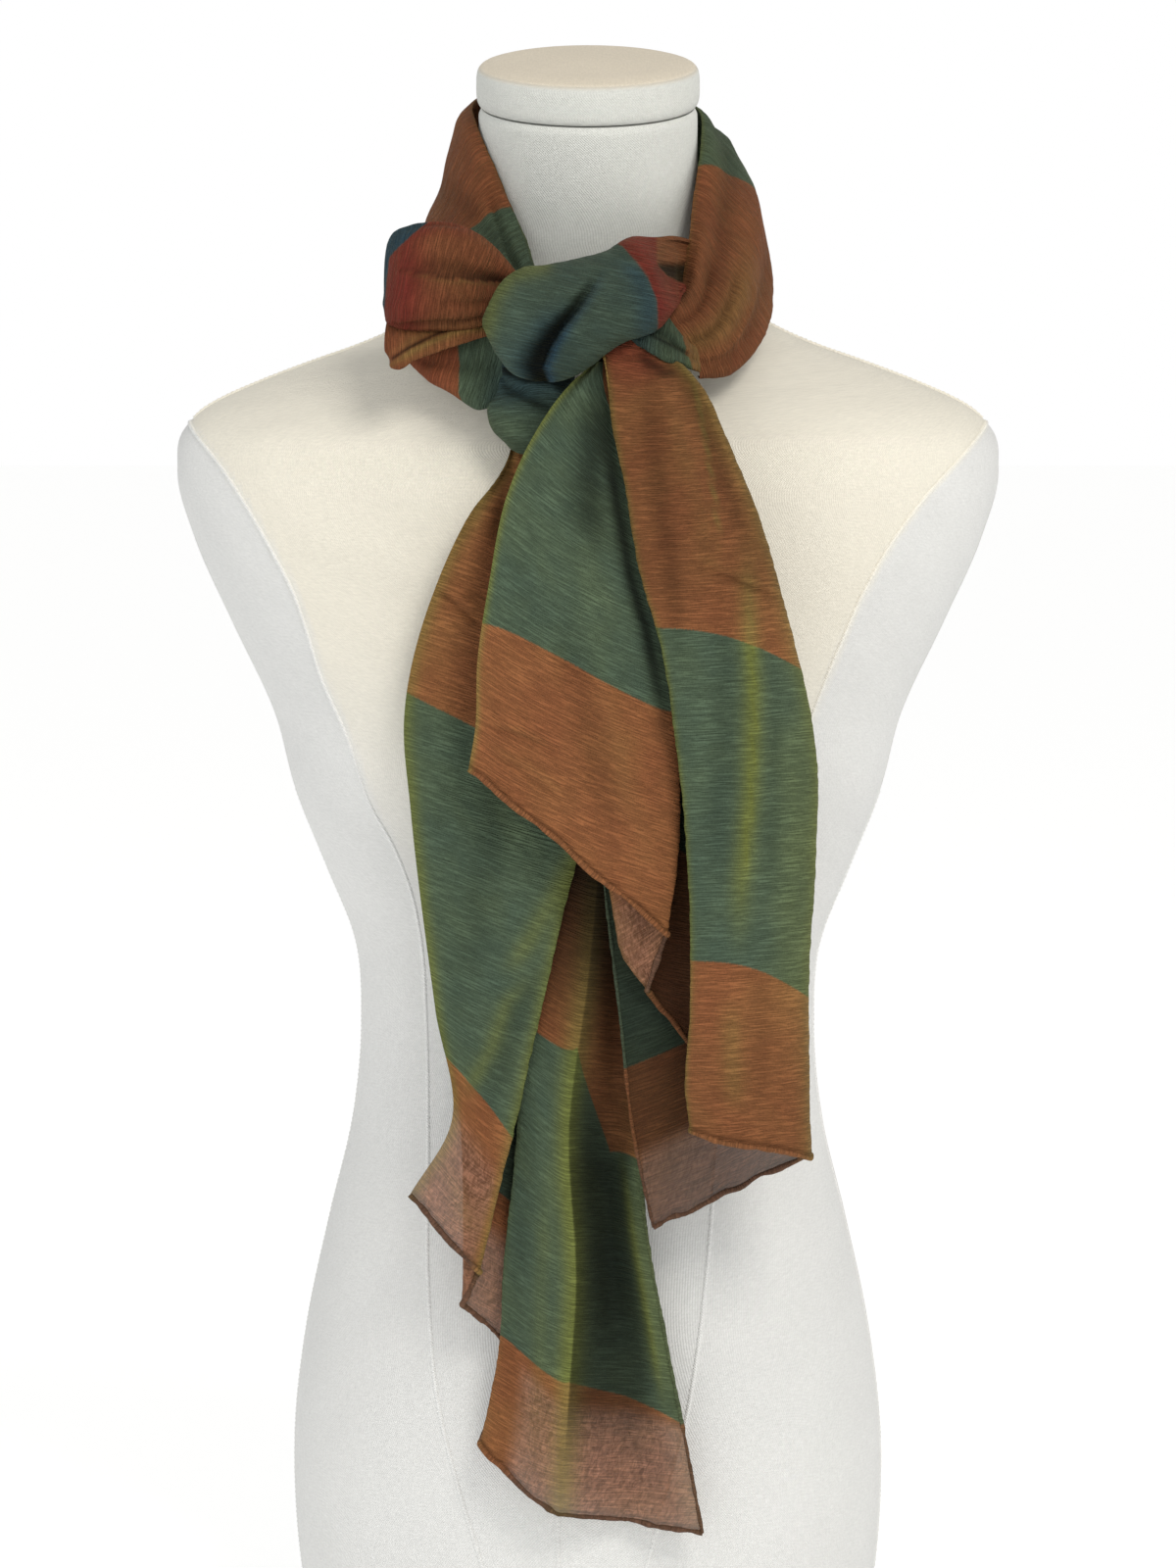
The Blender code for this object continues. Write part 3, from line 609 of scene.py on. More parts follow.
def noise(tree, place, size, detail=2.0, bent=0.0):
    """Noise whose marks are about size long: size is in millimetres of cloth, across and down."""
    inputs = {0: place, 1: (1 / size[0], 1 / size[1], 0)}
    scaled = node(tree, "ShaderNodeVectorMath", inputs, operation="MULTIPLY").outputs[0]
    inputs = {"Vector": scaled, "Scale": 1.0, "Detail": detail, "Roughness": 0.55, "Distortion": bent}
    return node(tree, "ShaderNodeTexNoise", inputs).outputs["Fac"]


def point_data(tree, name, output="Vector"):
    return node(tree, "ShaderNodeAttribute", attribute_name=name).outputs[output]


def shaded(tree, colour, grey):
    """The colour, darker or lighter by a grey value."""
    shade = node(tree, "ShaderNodeCombineColor", {0: grey, 1: grey, 2: grey}).outputs[0]
    return mix(tree, 1.0, colour, shade, "MULTIPLY")


def new_material(name, finish):
    """A new material, its node tree and its shader, which has the finish: a value for each of some inputs."""
    material = bpy.data.materials.new(name)
    material.use_nodes = True
    shader = material.node_tree.nodes["Principled BSDF"]
    for key, value in finish.items():
        shader.inputs[key].default_value = value
    return material, material.node_tree, shader


def chiffon(name="chiffon", hem=False):
    """Sheer crinkled cloth in two woven blocks, with a painted golden sheen at folds. cloth holds (across,
    down, block edge), tint how much painted sheen it has and how red and blue it is, and layers how far
    it is doubled and how much painted shade it has."""
    material, tree, shader = new_material(name, CHIFFON_FINISH)
    place = point_data(tree, "cloth")
    block = node(tree, "ShaderNodeSeparateXYZ", {0: place}).outputs["Z"]
    tint = point_data(tree, "tint", "Color")
    gold, red, blue = node(tree, "ShaderNodeSeparateColor", {0: tint}).outputs[:3]
    layers_and_shade = point_data(tree, "layers_and_shade")
    doubled, painted_shade, _ = node(tree, "ShaderNodeSeparateXYZ", {0: layers_and_shade}).outputs[:3]

    threads_down = noise(tree, place, THREADS_DOWN)
    threads = calc(tree, "ADD", noise(tree, place, THREADS_ACROSS), threads_down)
    furrow = spread(tree, noise(tree, place, FURROWS, 1.5, 0.4), 0.38, 0.60, 0, 1)
    veins = spread(tree, noise(tree, place, VEINS, 3.0, 1.6), 0.36, 0.64, 0.60, 1.50)
    cloudy = noise(tree, place, CLOUDS, 3.0)
    bleed = spread(tree, threads_down, 0, 1, -0.9, 0.9)

    rust_share = spread(tree, calc(tree, "ADD", block, bleed), -0.45, 0.45, 0, 1)
    colour = mix(tree, rust_share, GREEN, RUST)
    golden = mix(tree, rust_share, GREEN_GOLD, RUST_GOLD)
    pale = shaded(tree, mix(tree, rust_share, SINGLE_GREEN, SINGLE), veins)
    single = spread(tree, doubled, 0, 1, 0.85, 0)
    colour = mix(tree, single, colour, pale)
    # The painted golden sheen at folds and creases
    colour = mix(tree, gold, colour, golden)
    colour = mix(tree, red, colour, RED)
    colour = mix(tree, blue, colour, BLUE)
    warm = spread(tree, cloudy, 0.35, 0.7, 0, 0.16)
    colour = mix(tree, warm, colour, golden)
    # Threads and clouds vary the colour at random. The crinkle's furrows get painted shade and its crests a
    # painted highlight, and the last mark is the painted shade from the folds
    for mark, low, high, least, most in (
        (threads, 0.75, 1.25, 0.82, 1.18), (furrow, 0, 1, 0.78, 1.14), (cloudy, 0.25, 0.75, 0.93, 1.07),
        (painted_shade, 0, 1, 1.0, 0.03),
    ):
        colour = shaded(tree, colour, spread(tree, mark, low, high, least, most))
    if hem:
        colour = mix(tree, spread(tree, doubled, 0, 1, 0.75, 0.12), colour, HEM_COLOUR)
    tree.links.new(colour, shader.inputs["Base Color"])

    height = calc(tree, "ADD", furrow, calc(tree, "MULTIPLY", threads, 0.5))
    bump = node(tree, "ShaderNodeBump", {"Strength": 0.9, "Distance": 0.0007, "Height": height})
    tree.links.new(bump.outputs["Normal"], shader.inputs["Normal"])
    if not hem:
        tree.links.new(spread(tree, doubled, 0, 1, 0.86, 1.0), shader.inputs["Alpha"])
    return material


def jersey():
    """The form's plain-woven cover. cloth holds (round, up, 0) and tone its colour, with painted shade on
    the neck and the cap.
    """
    material, tree, shader = new_material("jersey", JERSEY_FINISH)
    place = point_data(tree, "cloth")
    round_it, up, _ = node(tree, "ShaderNodeSeparateXYZ", {0: place}).outputs[:3]
    wave_step = 2 * math.pi / WEAVE_STEP
    warp = calc(tree, "SINE", calc(tree, "MULTIPLY", round_it, wave_step))
    weft = calc(tree, "SINE", calc(tree, "MULTIPLY", up, wave_step))
    weave = calc(tree, "MULTIPLY", warp, weft)
    slub = noise(tree, place, (0.9, 5.0))
    slub_across = noise(tree, place, (5.0, 0.9))
    fleck = noise(tree, place, (1.0, 1.0), 3.0)
    cloudy = noise(tree, place, (60.0, 60.0))
    grey = spread(tree, weave, -1, 1, 0.93, 1.045)
    marks = ((slub, 0.96, 1.04), (slub_across, 0.96, 1.04), (fleck, 0.95, 1.04), (cloudy, 0.98, 1.02))
    for mark, least, most in marks:
        grey = calc(tree, "MULTIPLY", grey, spread(tree, mark, 0.3, 0.7, least, most))
    tree.links.new(shaded(tree, point_data(tree, "tone", "Color"), grey), shader.inputs["Base Color"])
    height = calc(tree, "ADD", weave, calc(tree, "ADD", slub, slub_across))
    bump = node(tree, "ShaderNodeBump", {"Strength": 0.5, "Distance": 0.0004, "Height": height})
    tree.links.new(bump.outputs["Normal"], shader.inputs["Normal"])
    return material


# ---------------------------------------------------------------- meshes
def add_mesh(name, points, faces, attributes, material):
    """A smooth mesh. attributes holds one row a point under each name: three numbers, or one."""
    mesh = bpy.data.meshes.new(name)
    mesh.from_pydata((np.asarray(points) * MM).tolist(), [], faces)
    for key, values in attributes.items():
        values = np.asarray(values, np.float32)
        if key in ("tint", "tone"):
            made = mesh.attributes.new(key, "FLOAT_COLOR", "POINT")
            rgba = np.concatenate([values, np.ones((len(values), 1), np.float32)], axis=1)
            made.data.foreach_set("color", rgba.ravel())
        elif values.ndim == 2:
            made = mesh.attributes.new(key, "FLOAT_VECTOR", "POINT")
            made.data.foreach_set("vector", values.ravel())
        else:
            made = mesh.attributes.new(key, "FLOAT", "POINT")
            made.data.foreach_set("value", values)
    mesh.materials.append(material)
    mesh.shade_smooth()
    piece = bpy.data.objects.new(name, mesh)
    bpy.context.scene.collection.objects.link(piece)
    return piece


def grid_faces(rows, columns):
    at = np.arange(rows * columns).reshape(rows, columns)
    corners = (at[:-1, :-1], at[1:, :-1], at[1:, 1:], at[:-1, 1:])
    return np.stack(corners, axis=2).reshape(-1, 4).tolist()


def ring_faces(rows, sides):
    """Faces between rings of points, one after the other."""
    faces = []
    for i in range(rows - 1):
        for j in range(sides):
            a, b = i * sides + j, i * sides + (j + 1) % sides
            faces.append((a, b, b + sides, a + sides))
    return faces


def flat_ends(rows, sides):
    """The two faces that close the first and the last of the rings."""
    return [tuple(range(sides - 1, -1, -1)), tuple(range((rows - 1) * sides, rows * sides))]


def fan_ends(rows, sides):
    """Triangles that close them instead, each to its own point: the two points that follow the rings."""
    last, low, high = (rows - 1) * sides, rows * sides, rows * sides + 1
    faces = []
    for j in range(sides):
        k = (j + 1) % sides
        faces += [(low, k, j), (high, last + j, last + k)]
    return faces


def tube(line, radius, sides=8):
    """Points and faces of a closed tube along a line of points, with its own radius at each one."""
    line = np.asarray(line, float)
    radius = np.broadcast_to(radius, len(line))
    ahead = np.gradient(line, axis=0)
    ahead /= np.linalg.norm(ahead, axis=1, keepdims=True)
    aside = np.cross(ahead, (0, 1, 0.01))
    aside /= np.linalg.norm(aside, axis=1, keepdims=True)
    up = np.cross(aside, ahead)
    turn = np.linspace(0, 2 * np.pi, sides, endpoint=False)
    ring = aside[:, None] * np.cos(turn)[None, :, None] + up[:, None] * np.sin(turn)[None, :, None]
    points = (line[:, None] + ring * radius[:, None, None]).reshape(-1, 3)
    return points, ring_faces(len(line), sides) + flat_ends(len(line), sides)


# ---------------------------------------------------------------- the dress form
FORM_TABLE = np.array(FORM_SECTIONS, float)


def seam_reach(height, places):
    """How far to its side a seam lies at each height."""
    table = np.array(sorted((z, abs(x)) for x, z in places))
    return np.interp(height, table[:, 0], table[:, 1])


def form_points(turn, height):
    """Places on the form's surface, from the angle round it and the height of the section."""
    rows = smooth_rows(FORM_TABLE, FORM_TABLE[:, 0], np.clip(np.ravel(height), 0, NECK_TOP.height))
    _, half_width, front, back, square, tilt = rows.T.reshape(6, *np.shape(height))
    middle, half_depth = (front + back) / 2, (back - front) / 2
    x = half_width * np.sign(np.cos(turn)) * np.abs(np.cos(turn)) ** (2 / square)
    y = half_depth * np.sign(np.sin(turn)) * np.abs(np.sin(turn)) ** (2 / square)
    side, level = BUST_CENTRE
    reach = ((np.abs(x) - side) ** 2 + (height - level) ** 2) / BUST_RADIUS**2
    bust = BUST_DEPTH * np.exp(-reach) * (y < 0)
    z = height + y * np.tan(np.radians(tilt))
    seam = np.where(x < 0, seam_reach(height, SEAM_ARM_LEFT), seam_reach(height, SEAM_ARM_RIGHT))
    past = smooth_step(np.abs(x) - seam, 0, ARM_HOLLOW_WIDTH)
    hollow = ARM_HOLLOW * past * smooth_step(height, ARM_BOTTOM, ARM_BOTTOM + ARM_BOTTOM_FADE)
    hollow = hollow * smooth_step(height, ARM_TOP, ARM_TOP - ARM_TOP_FADE) * (np.abs(y) / half_depth)
    y = y - np.sign(y) * hollow
    return np.stack([x + FORM_CENTRE_X, y + middle - bust, z], axis=-1)


def form_tone(points, height):
    """Warm on the chest between the armholes, cool at the sides and hips, and darker and greyer on the neck,
    as painted shade under the cap.
    """
    x = points[..., 0] - FORM_CENTRE_X
    seam = np.where(x < 0, seam_reach(height, SEAM_ARM_LEFT), seam_reach(height, SEAM_ARM_RIGHT))
    chest = smooth_step(np.abs(x) - seam, 2, -3) * smooth_step(height, 330, 520)
    neck = smooth_step(height, 636, 668)
    colour = np.array(FORM_COOL) + chest[..., None] * (np.array(FORM_WARM) - FORM_COOL)
    return colour + neck[..., None] * (np.array(NECK_SHADED_COLOUR) - colour)


def dress_form(material):
    turn = np.linspace(0, 2 * np.pi, FORM_SIDES, endpoint=False)
    heights = FORM_TABLE[:, 0]
    where = np.interp(np.linspace(0, len(heights) - 1, FORM_ROWS), range(len(heights)), heights)
    where = np.sort(np.concatenate([where, NECK_TOP.height - np.array(NECK_RIM_ROWS)]))
    height, angle = np.meshgrid(where, turn, indexing="ij")
    grid = form_points(angle, height)
    rim = NECK_RIM * smooth_step(height, NECK_TOP.height - 4, NECK_TOP.height + 1.5)
    inward = grid.mean(axis=1, keepdims=True) - grid
    grid += inward / np.linalg.norm(inward, axis=2, keepdims=True) * rim[..., None]
    bottom, top = grid[0].mean(axis=0), grid[-1].mean(axis=0)
    points = np.concatenate([grid.reshape(-1, 3), [bottom], [top]])
    faces = ring_faces(len(where), FORM_SIDES) + fan_ends(len(where), FORM_SIDES)
    girth = angle * smooth_rows(FORM_TABLE, heights, where)[:, 1:2]
    cloth = np.stack([girth, height, 0 * height], axis=-1).reshape(-1, 3)
    tone = form_tone(grid, height).reshape(-1, 3)
    ends = np.zeros((2, 3))
    attributes = {"cloth": np.concatenate([cloth, ends]),
                  "tone": np.concatenate([tone, [FORM_COOL], [NECK_SHADED_COLOUR]])}
    body = add_mesh("form_cover", points, faces, attributes, material)
    body.data.set_sharp_from_angle(angle=math.radians(50))
    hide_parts("form_body")
    return body


def seam_line(places, side):
    """A line on the form through (across, up) places, on its front (-1) or its back (1)."""
    rows = along([(x, 0, z) for x, z in places], 2 * len(places) * 8)
    height = rows[:, 2]
    section = smooth_rows(FORM_TABLE, FORM_TABLE[:, 0], height)
    share = np.clip((rows[:, 0] - FORM_CENTRE_X) / section[:, 1], -0.999, 0.999)
    turn = np.arccos(np.sign(share) * np.abs(share) ** (section[:, 4] / 2))
    return form_points(side * turn, height)


def form_seams(material):
    """Raised stitched seams, half sunk in the cover."""
    lines = {}
    for side, facing in ((-1, "front"), (1, "back")):
        lines[f"seam_arm_left_{facing}"] = seam_line(SEAM_ARM_LEFT, side)
        lines[f"seam_arm_right_{facing}"] = seam_line(SEAM_ARM_RIGHT, side)
    lines["seam_middle_front"] = seam_line([(SEAM_MIDDLE_X, z) for z in SEAM_MIDDLE_HEIGHTS], -1)
    lines["seam_middle_back"] = seam_line([(FORM_CENTRE_X, z) for z in SEAM_BACK_HEIGHTS], 1)
    heights = np.array(SEAM_SHOULDER_HEIGHTS, float)
    for name, turn in (("left", math.radians(184)), ("right", math.radians(-4))):
        lines[f"seam_shoulder_{name}"] = form_points(np.full(len(heights), turn), heights)
        low = np.linspace(3, ARM_BOTTOM + 20, 40)
        lines[f"seam_side_{name}"] = form_points(np.full(len(low), turn - math.radians(4)), low)
    made = []
    for name, line in lines.items():
        length = np.linalg.norm(np.diff(line, axis=0), axis=1).sum()
        line = along(line, max(12, int(length / SEAM_STEP)))
        beads = 1 + STITCH_SWELL * np.cos(np.arange(len(line)) * SEAM_STEP * 2 * np.pi / STITCH_STEP)
        inward = np.array([FORM_CENTRE_X, 0, 0]) - line * (1, 1, 0)
        inward /= np.linalg.norm(inward, axis=1, keepdims=True)
        points, faces = tube(line + SEAM_SUNK * inward, SEAM_RADIUS * beads)
        height = points[:, 2]
        tone = form_tone(points, height) * SEAM_LIGHTER
        attributes = {"cloth": np.stack([points[:, 0], height, 0 * height], axis=1), "tone": tone}
        made.append(add_mesh(name, points, faces, attributes, material))
    return made


def neck_cap(material):
    """The cap on the tilted end of the neck, round at both rims."""
    tilt = math.radians(NECK_TOP.tilt)
    up = np.array([0, -math.sin(tilt), math.cos(tilt)])
    back = np.array([0, math.cos(tilt), math.sin(tilt)])
    middle = (FORM_CENTRE_X, (NECK_TOP.front + NECK_TOP.back) / 2, NECK_TOP.height)
    centre = np.array(middle) + up * CAP_GAP
    turn = np.linspace(0, 2 * np.pi, CAP_SIDES, endpoint=False)
    profile = along([(r, 0, h) for r, h in CAP_PROFILE[1:-1]], 60)[:, (0, 2)]
    steps = np.concatenate([np.linspace(8, 48, 6)[:, None] * (1, 0), profile])
    crown = [(r, CAP_HEIGHT - 0.8 * (r / 30) ** 2) for r in (25, 19, 13, 7)]
    rings, cloth, tone = [], [], []
    for radius, height in [*steps, *crown]:
        ring = np.outer(np.cos(turn), (1, 0, 0)) + np.outer(np.sin(turn), back)
        rings.append(centre + ring * radius + up * height)
        on_top = height > CAP_SHOULDER
        flat = (ring @ np.array([[1, 0, 0], back]).T) * radius
        side = np.stack([turn * radius, np.full(len(turn), height)], axis=1)
        place = flat if on_top else side
        cloth.append(np.concatenate([place, np.zeros((len(turn), 1))], axis=1))
        # The cap's side keeps the neck's painted shade; its top is warmer, with painted shade
        share = smooth_step(height, 16.5, 19.5)
        colour = np.array(NECK_SHADED_COLOUR) + share * (np.array(CAP_TOP_SHADED_COLOUR) - NECK_SHADED_COLOUR)
        tone.append(np.tile(colour, (len(turn), 1)))
    points = np.concatenate([*rings, [centre], [centre + up * CAP_HEIGHT]])
    faces = ring_faces(len(rings), CAP_SIDES) + fan_ends(len(rings), CAP_SIDES)
    ends = np.zeros((2, 3))
    attributes = {"cloth": np.concatenate([*cloth, ends]),
                  "tone": np.concatenate([*tone, [NECK_SHADED_COLOUR], [CAP_TOP_SHADED_COLOUR]])}
    cap = add_mesh("form_cap_cover", points, faces, attributes, material)
    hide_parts("form_cap")
    return cap


# ---------------------------------------------------------------- cloth
class Cloth:
    """A sheet being made: its grid of points, where each lies on the cloth, and its colours."""

    def __init__(self, name, grid, outward):
        self.name = name
        self.grid = grid
        self.across = lengths(grid, 1)
        self.down = lengths(grid, 0)
        normal = grid_normals(grid)
        self.outward = normal * np.sign((normal * outward).sum(axis=2).mean())
        shape = grid.shape[:2]
        self.block = np.full(shape, -50.0)
        self.tint = np.zeros((*shape, 3))
        self.doubled = np.ones(shape)
        self.painted_shade = np.zeros(shape)

    # Paints a golden sheen on the cloth, a painted highlight
    def paint_golden_sheen(self, share):
        self.tint[..., 0] = np.clip(self.tint[..., 0] + share, 0, 1)

    # Adds painted shade, which darkens the cloth's colour
    def paint_shade(self, share):
        self.painted_shade = 1 - (1 - self.painted_shade) * (1 - np.clip(share, 0, 1))

    def move(self, height, direction):
        self.grid = self.grid + height[..., None] * np.array(direction, float)

    def press(self, height, direction=None):
        """Moves the cloth out by height, along its own outward side or a direction. Troughs get painted
        shade.
        """
        self.move(height, self.outward if direction is None else direction)
        self.paint_shade(TROUGH_PAINTED_SHADE * np.clip(-height, 0, DARKEST_TROUGH))

    def crinkle(self, amount=0.22, seed=1):
        """The fine uneven crinkle that runs across the cloth, and the softer waves under it."""
        height = 0
        for k, (share, across, down, slant) in enumerate(CRINKLES):
            slanted = self.across + slant * self.down
            height = height + share * rough(slanted, self.down, across, down, seed + k)
        self.move(amount * height, grid_normals(self.grid))

    def add(self, material, *nodes):
        """The finished piece, which stands for those CAD nodes."""
        cloth = np.stack([self.across, self.down, self.block], axis=2)
        layers_and_shade = np.stack([self.doubled, self.painted_shade, 0 * self.painted_shade], axis=2)
        attributes = {"cloth": cloth.reshape(-1, 3), "tint": self.tint.reshape(-1, 3),
                      "layers_and_shade": layers_and_shade.reshape(-1, 3)}
        faces = grid_faces(*self.grid.shape[:2])
        piece = add_mesh(self.name, self.grid.reshape(-1, 3), faces, attributes, material)
        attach(piece, "root")
        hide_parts(*nodes)
        return piece

    def hem(self, name, rows, columns, material, radius=HEM_RADIUS):
        """A rolled hem along a line of the grid's points, uneven as a hand-rolled one is."""
        line = self.grid[rows, columns]
        where = lengths(line[:, None], 0)[:, 0]
        uneven = 1
        for share, length, seed in HEM_UNEVEN:
            uneven = uneven + share * rough(where, 0 * where, length, 1, seed)
        points, faces = tube(line, radius * uneven)
        sides = len(points) // len(line)
        block = np.repeat(self.block[rows, columns], sides)
        around = np.tile(np.arange(sides) * HEM_SIDE, len(line))
        cloth = np.stack([around, np.repeat(where, sides), block], axis=1)
        tint = np.repeat(self.tint[rows, columns], sides, axis=0)
        # The hem takes half the painted shade of the cloth it edges
        painted_shade = np.repeat(0.5 * self.painted_shade[rows, columns], sides)
        doubled = np.repeat(self.doubled[rows, columns], sides)
        layers_and_shade = np.stack([doubled, painted_shade, 0 * painted_shade], axis=1)
        piece = add_mesh(name, points, faces, {"cloth": cloth, "tint": tint, "layers_and_shade": layers_and_shade}, material)
        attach(piece, "root")
        return piece


def press_crease(cloth, crease, first, last):
    """Presses one crease into a tail between its first fold and its last, and paints golden sheen or shade
    along it.
    """
    at_fold = cloth.fold[0]
    on = (at_fold >= first) & (at_fold <= last)
    away, share = distance_to(cloth.grid[:, on][..., (0, 2)], crease.places)
    taper = smooth_step(np.minimum(share, 1 - share), 0, 0.3)
    form = bell(away, crease.width) * taper
    edge = smooth_step(np.minimum(at_fold[on] - first, last - at_fold[on]), 0, 0.12)
    height = np.zeros(cloth.grid.shape[:2])
    height[:, on] = crease.height * form * edge
    cloth.press(height, FORWARD)
    gold = np.zeros(cloth.grid.shape[:2])
    gold[:, on] = crease.gold * form
    cloth.paint_golden_sheen(np.clip(CREASE_PAINTED_SHEEN * gold, 0, 1))
    cloth.paint_shade(np.clip(-gold, 0, 1))


def pleated(name, folds, creases, wide=None):
    """A tail: cloth that runs from its first fold to its last, turning round each one between.

    Its block edges bow up across the panel that begins at the wide fold.
    """
    longest = max(np.linalg.norm(np.diff(np.array(f.places, float), axis=0), axis=1).sum() for f in folds)
    rows = int(longest / CELL_DOWN)
    lines = [along(fold.places, rows) for fold in folds]
    down = np.linspace(0, 1, rows)
    reach = GATHERED_REACH + (1 - GATHERED_REACH) * smooth_step(down, 0, GATHER_END)
    panels, at_fold = [], []
    for k in range(len(folds) - 1):
        a, b = lines[k], lines[k + 1]
        ends = []
        for fold in (folds[k], folds[k + 1]):
            direction = np.array(TURN_DIRECTION[fold.turn], float)
            ends.append((b - a) / 2 if fold.turn == "edge" else reach[:, None] * fold.reach * direction)
        count = int(np.linalg.norm(b - a, axis=1).max() / CELL_ACROSS) + 6
        steps = np.linspace(0, 1, count)[: -1 if k < len(folds) - 2 else None]
        for u in steps:
            point = a * (2 * u**3 - 3 * u**2 + 1) + ends[0] * (u**3 - 2 * u**2 + u)
            panels.append(point + b * (3 * u**2 - 2 * u**3) + ends[1] * (u**3 - u**2))
            at_fold.append(k + u)
    at_fold = np.array(at_fold)
    cloth = Cloth(name, np.stack(panels, axis=1), FORWARD)
    hem_down = cloth.down[-1][None, :] - cloth.down
    places = range(len(folds))
    end = np.interp(at_fold, places, [f.end for f in folds])
    middle = np.interp(at_fold, places, [f.middle for f in folds])
    if wide is not None:
        bow = BLOCK_BOW * np.sin(np.pi * np.clip(at_fold - wide, 0, 1)) ** 2
        end, middle = end + bow, middle + bow
    cloth.block = np.maximum(end - hem_down, hem_down - middle)
    cloth.down = (cloth.down - hem_down) / 2
    cloth.fold = at_fold[None, :] + 0 * hem_down
    cloth.hem_down = hem_down
    # Painted golden sheen along each fold's edge
    for k, fold in enumerate(folds):
        column = int(np.argmin(np.abs(at_fold - k)))
        away = np.abs(cloth.across - cloth.across[:, column : column + 1])
        cloth.paint_golden_sheen(FOLD_PAINTED_SHEEN * fold.gold * bell(away, fold.rim))
    for (first, last), group in creases.items():
        for crease in group:
            press_crease(cloth, crease, first, last)
    # Small pleats where the knot gathers the cloth, and uneven waves along the hem
    folds_in = np.cos(2 * np.pi * 2.5 * at_fold + 3 * np.sin(5 * at_fold))[None, :]
    cloth.press(PLEAT_HEIGHT * folds_in * smooth_step(down, GATHER_END, 0.05)[:, None], FORWARD)
    near_hem = np.exp(-hem_down / HEM_WAVE_REACH)
    for direction, height, length, seed in HEM_WAVES:
        waves = rough(cloth.across, 0 * hem_down, length, 1, seed)
        cloth.move(near_hem * waves * height, direction)
    cloth.paint_shade(0.4 * bell(hem_down - HEM_LINE, HEM_LINE_WIDTH))
    cloth.crinkle(seed=len(folds))
    return cloth


def padded(name, sections, ridges, cell=KNOT_CELL, tuck=TUCK, tuck_depth=TUCK_DEPTH, painted_shade=KNOT_PAINTED_SHADE):
    """A stretch bulged between an upper and a lower edge, its edges turned under, rows along it."""
    flat = np.array([(*s.upper, *s.lower, *s.bulge) for s in sections], float)
    length = np.linalg.norm(np.diff(flat[:, :3] + flat[:, 3:6], axis=0) / 2, axis=1).sum()
    width = (np.linalg.norm(flat[:, :3] - flat[:, 3:6], axis=1) + np.linalg.norm(flat[:, 6:], axis=1)).max()
    rows, columns = int(length / cell) + 2, int((width * 1.2) / (cell * 1.3)) + 2
    line = along(flat, rows)
    upper, lower, bulge = line[:, None, 0:3], line[:, None, 3:6], line[:, None, 6:9]
    turn = np.linspace(-tuck, np.pi + tuck, columns)[None, :, None]
    out = np.where(np.sin(turn) < 0, tuck_depth * np.sin(turn), np.sin(turn))
    grid = upper + (lower - upper) * (1 - np.cos(turn)) / 2 + bulge * out
    cloth = Cloth(name, grid, bulge)
    share_row = np.linspace(0, 1, rows)[:, None]
    share_across = turn[:, :, 0] / np.pi
    cloth.row = share_row + 0 * share_across
    cloth.side = share_across + 0 * share_row
    for ridge in ridges:
        places = np.stack([cloth.row * length, cloth.side * width], axis=2)
        line = [(p[0] * length, p[1] * width) for p in (ridge.start, ridge.end)]
        away, share = distance_to(places, line)
        taper = smooth_step(np.minimum(share, 1 - share), -0.12, 0.28)
        cloth.press(ridge.height * taper * bell(away, ridge.width))
    # Painted shade over the whole stretch
    cloth.paint_shade(np.full(grid.shape[:2], painted_shade))
    return cloth


def neck_wrap(material):
    """The stretch round the neck. Its blocks' edges are rows of its table, which sway across its width."""
    cloth = padded("scarf_neck_wrap", NECK_WRAP, RIDGES_WRAP, cell=1.15, tuck=0.4, tuck_depth=0.05, painted_shade=0.30)
    cloth.down = cloth.row * WRAP_LENGTH
    row = cloth.row * (len(NECK_WRAP) - 1)
    middle = cloth.side - 0.5
    first = KNOT_GREEN_END + 0.5 * middle
    back_start = BACK_GREEN[0] + 0.5 * middle
    back_end = BACK_GREEN[1] - 1.9 * middle + 0.12 * np.sin(9 * cloth.side)
    green = np.maximum(first - row, np.minimum(row - back_start, back_end - row))
    cloth.block = -26 * green
    # Painted golden sheen along both edges, and along its middle towards its end
    for edge in (0, 1):
        away = np.abs(cloth.side - edge) * WRAP_WIDTH
        cloth.paint_golden_sheen(0.45 * bell(away, 4))
    cloth.paint_golden_sheen(0.6 * (bell(middle, 0.10) * smooth_step(row, 12.5, 14.5)))
    # A band along its outer side that is redder and darker
    outer = smooth_step(cloth.side, 0.70, 0.78) * between(row, (1.2, 1.8), (4.6, 5.4))
    cloth.tint[..., 1] = 0.2 * smooth_step(cloth.block, -1, 1) + 0.25 * outer
    cloth.paint_shade(0.45 * outer)
    # Painted shade along its upper edge where it reaches the knot
    cloth.paint_shade(0.5 * smooth_step(row, 14.2, 15.6) * smooth_step(cloth.side, 0.3, 0.1))
    cloth.crinkle(0.2, seed=31)
    return cloth.add(material, "neck_wrap_left", "neck_wrap_back", "neck_wrap_right")


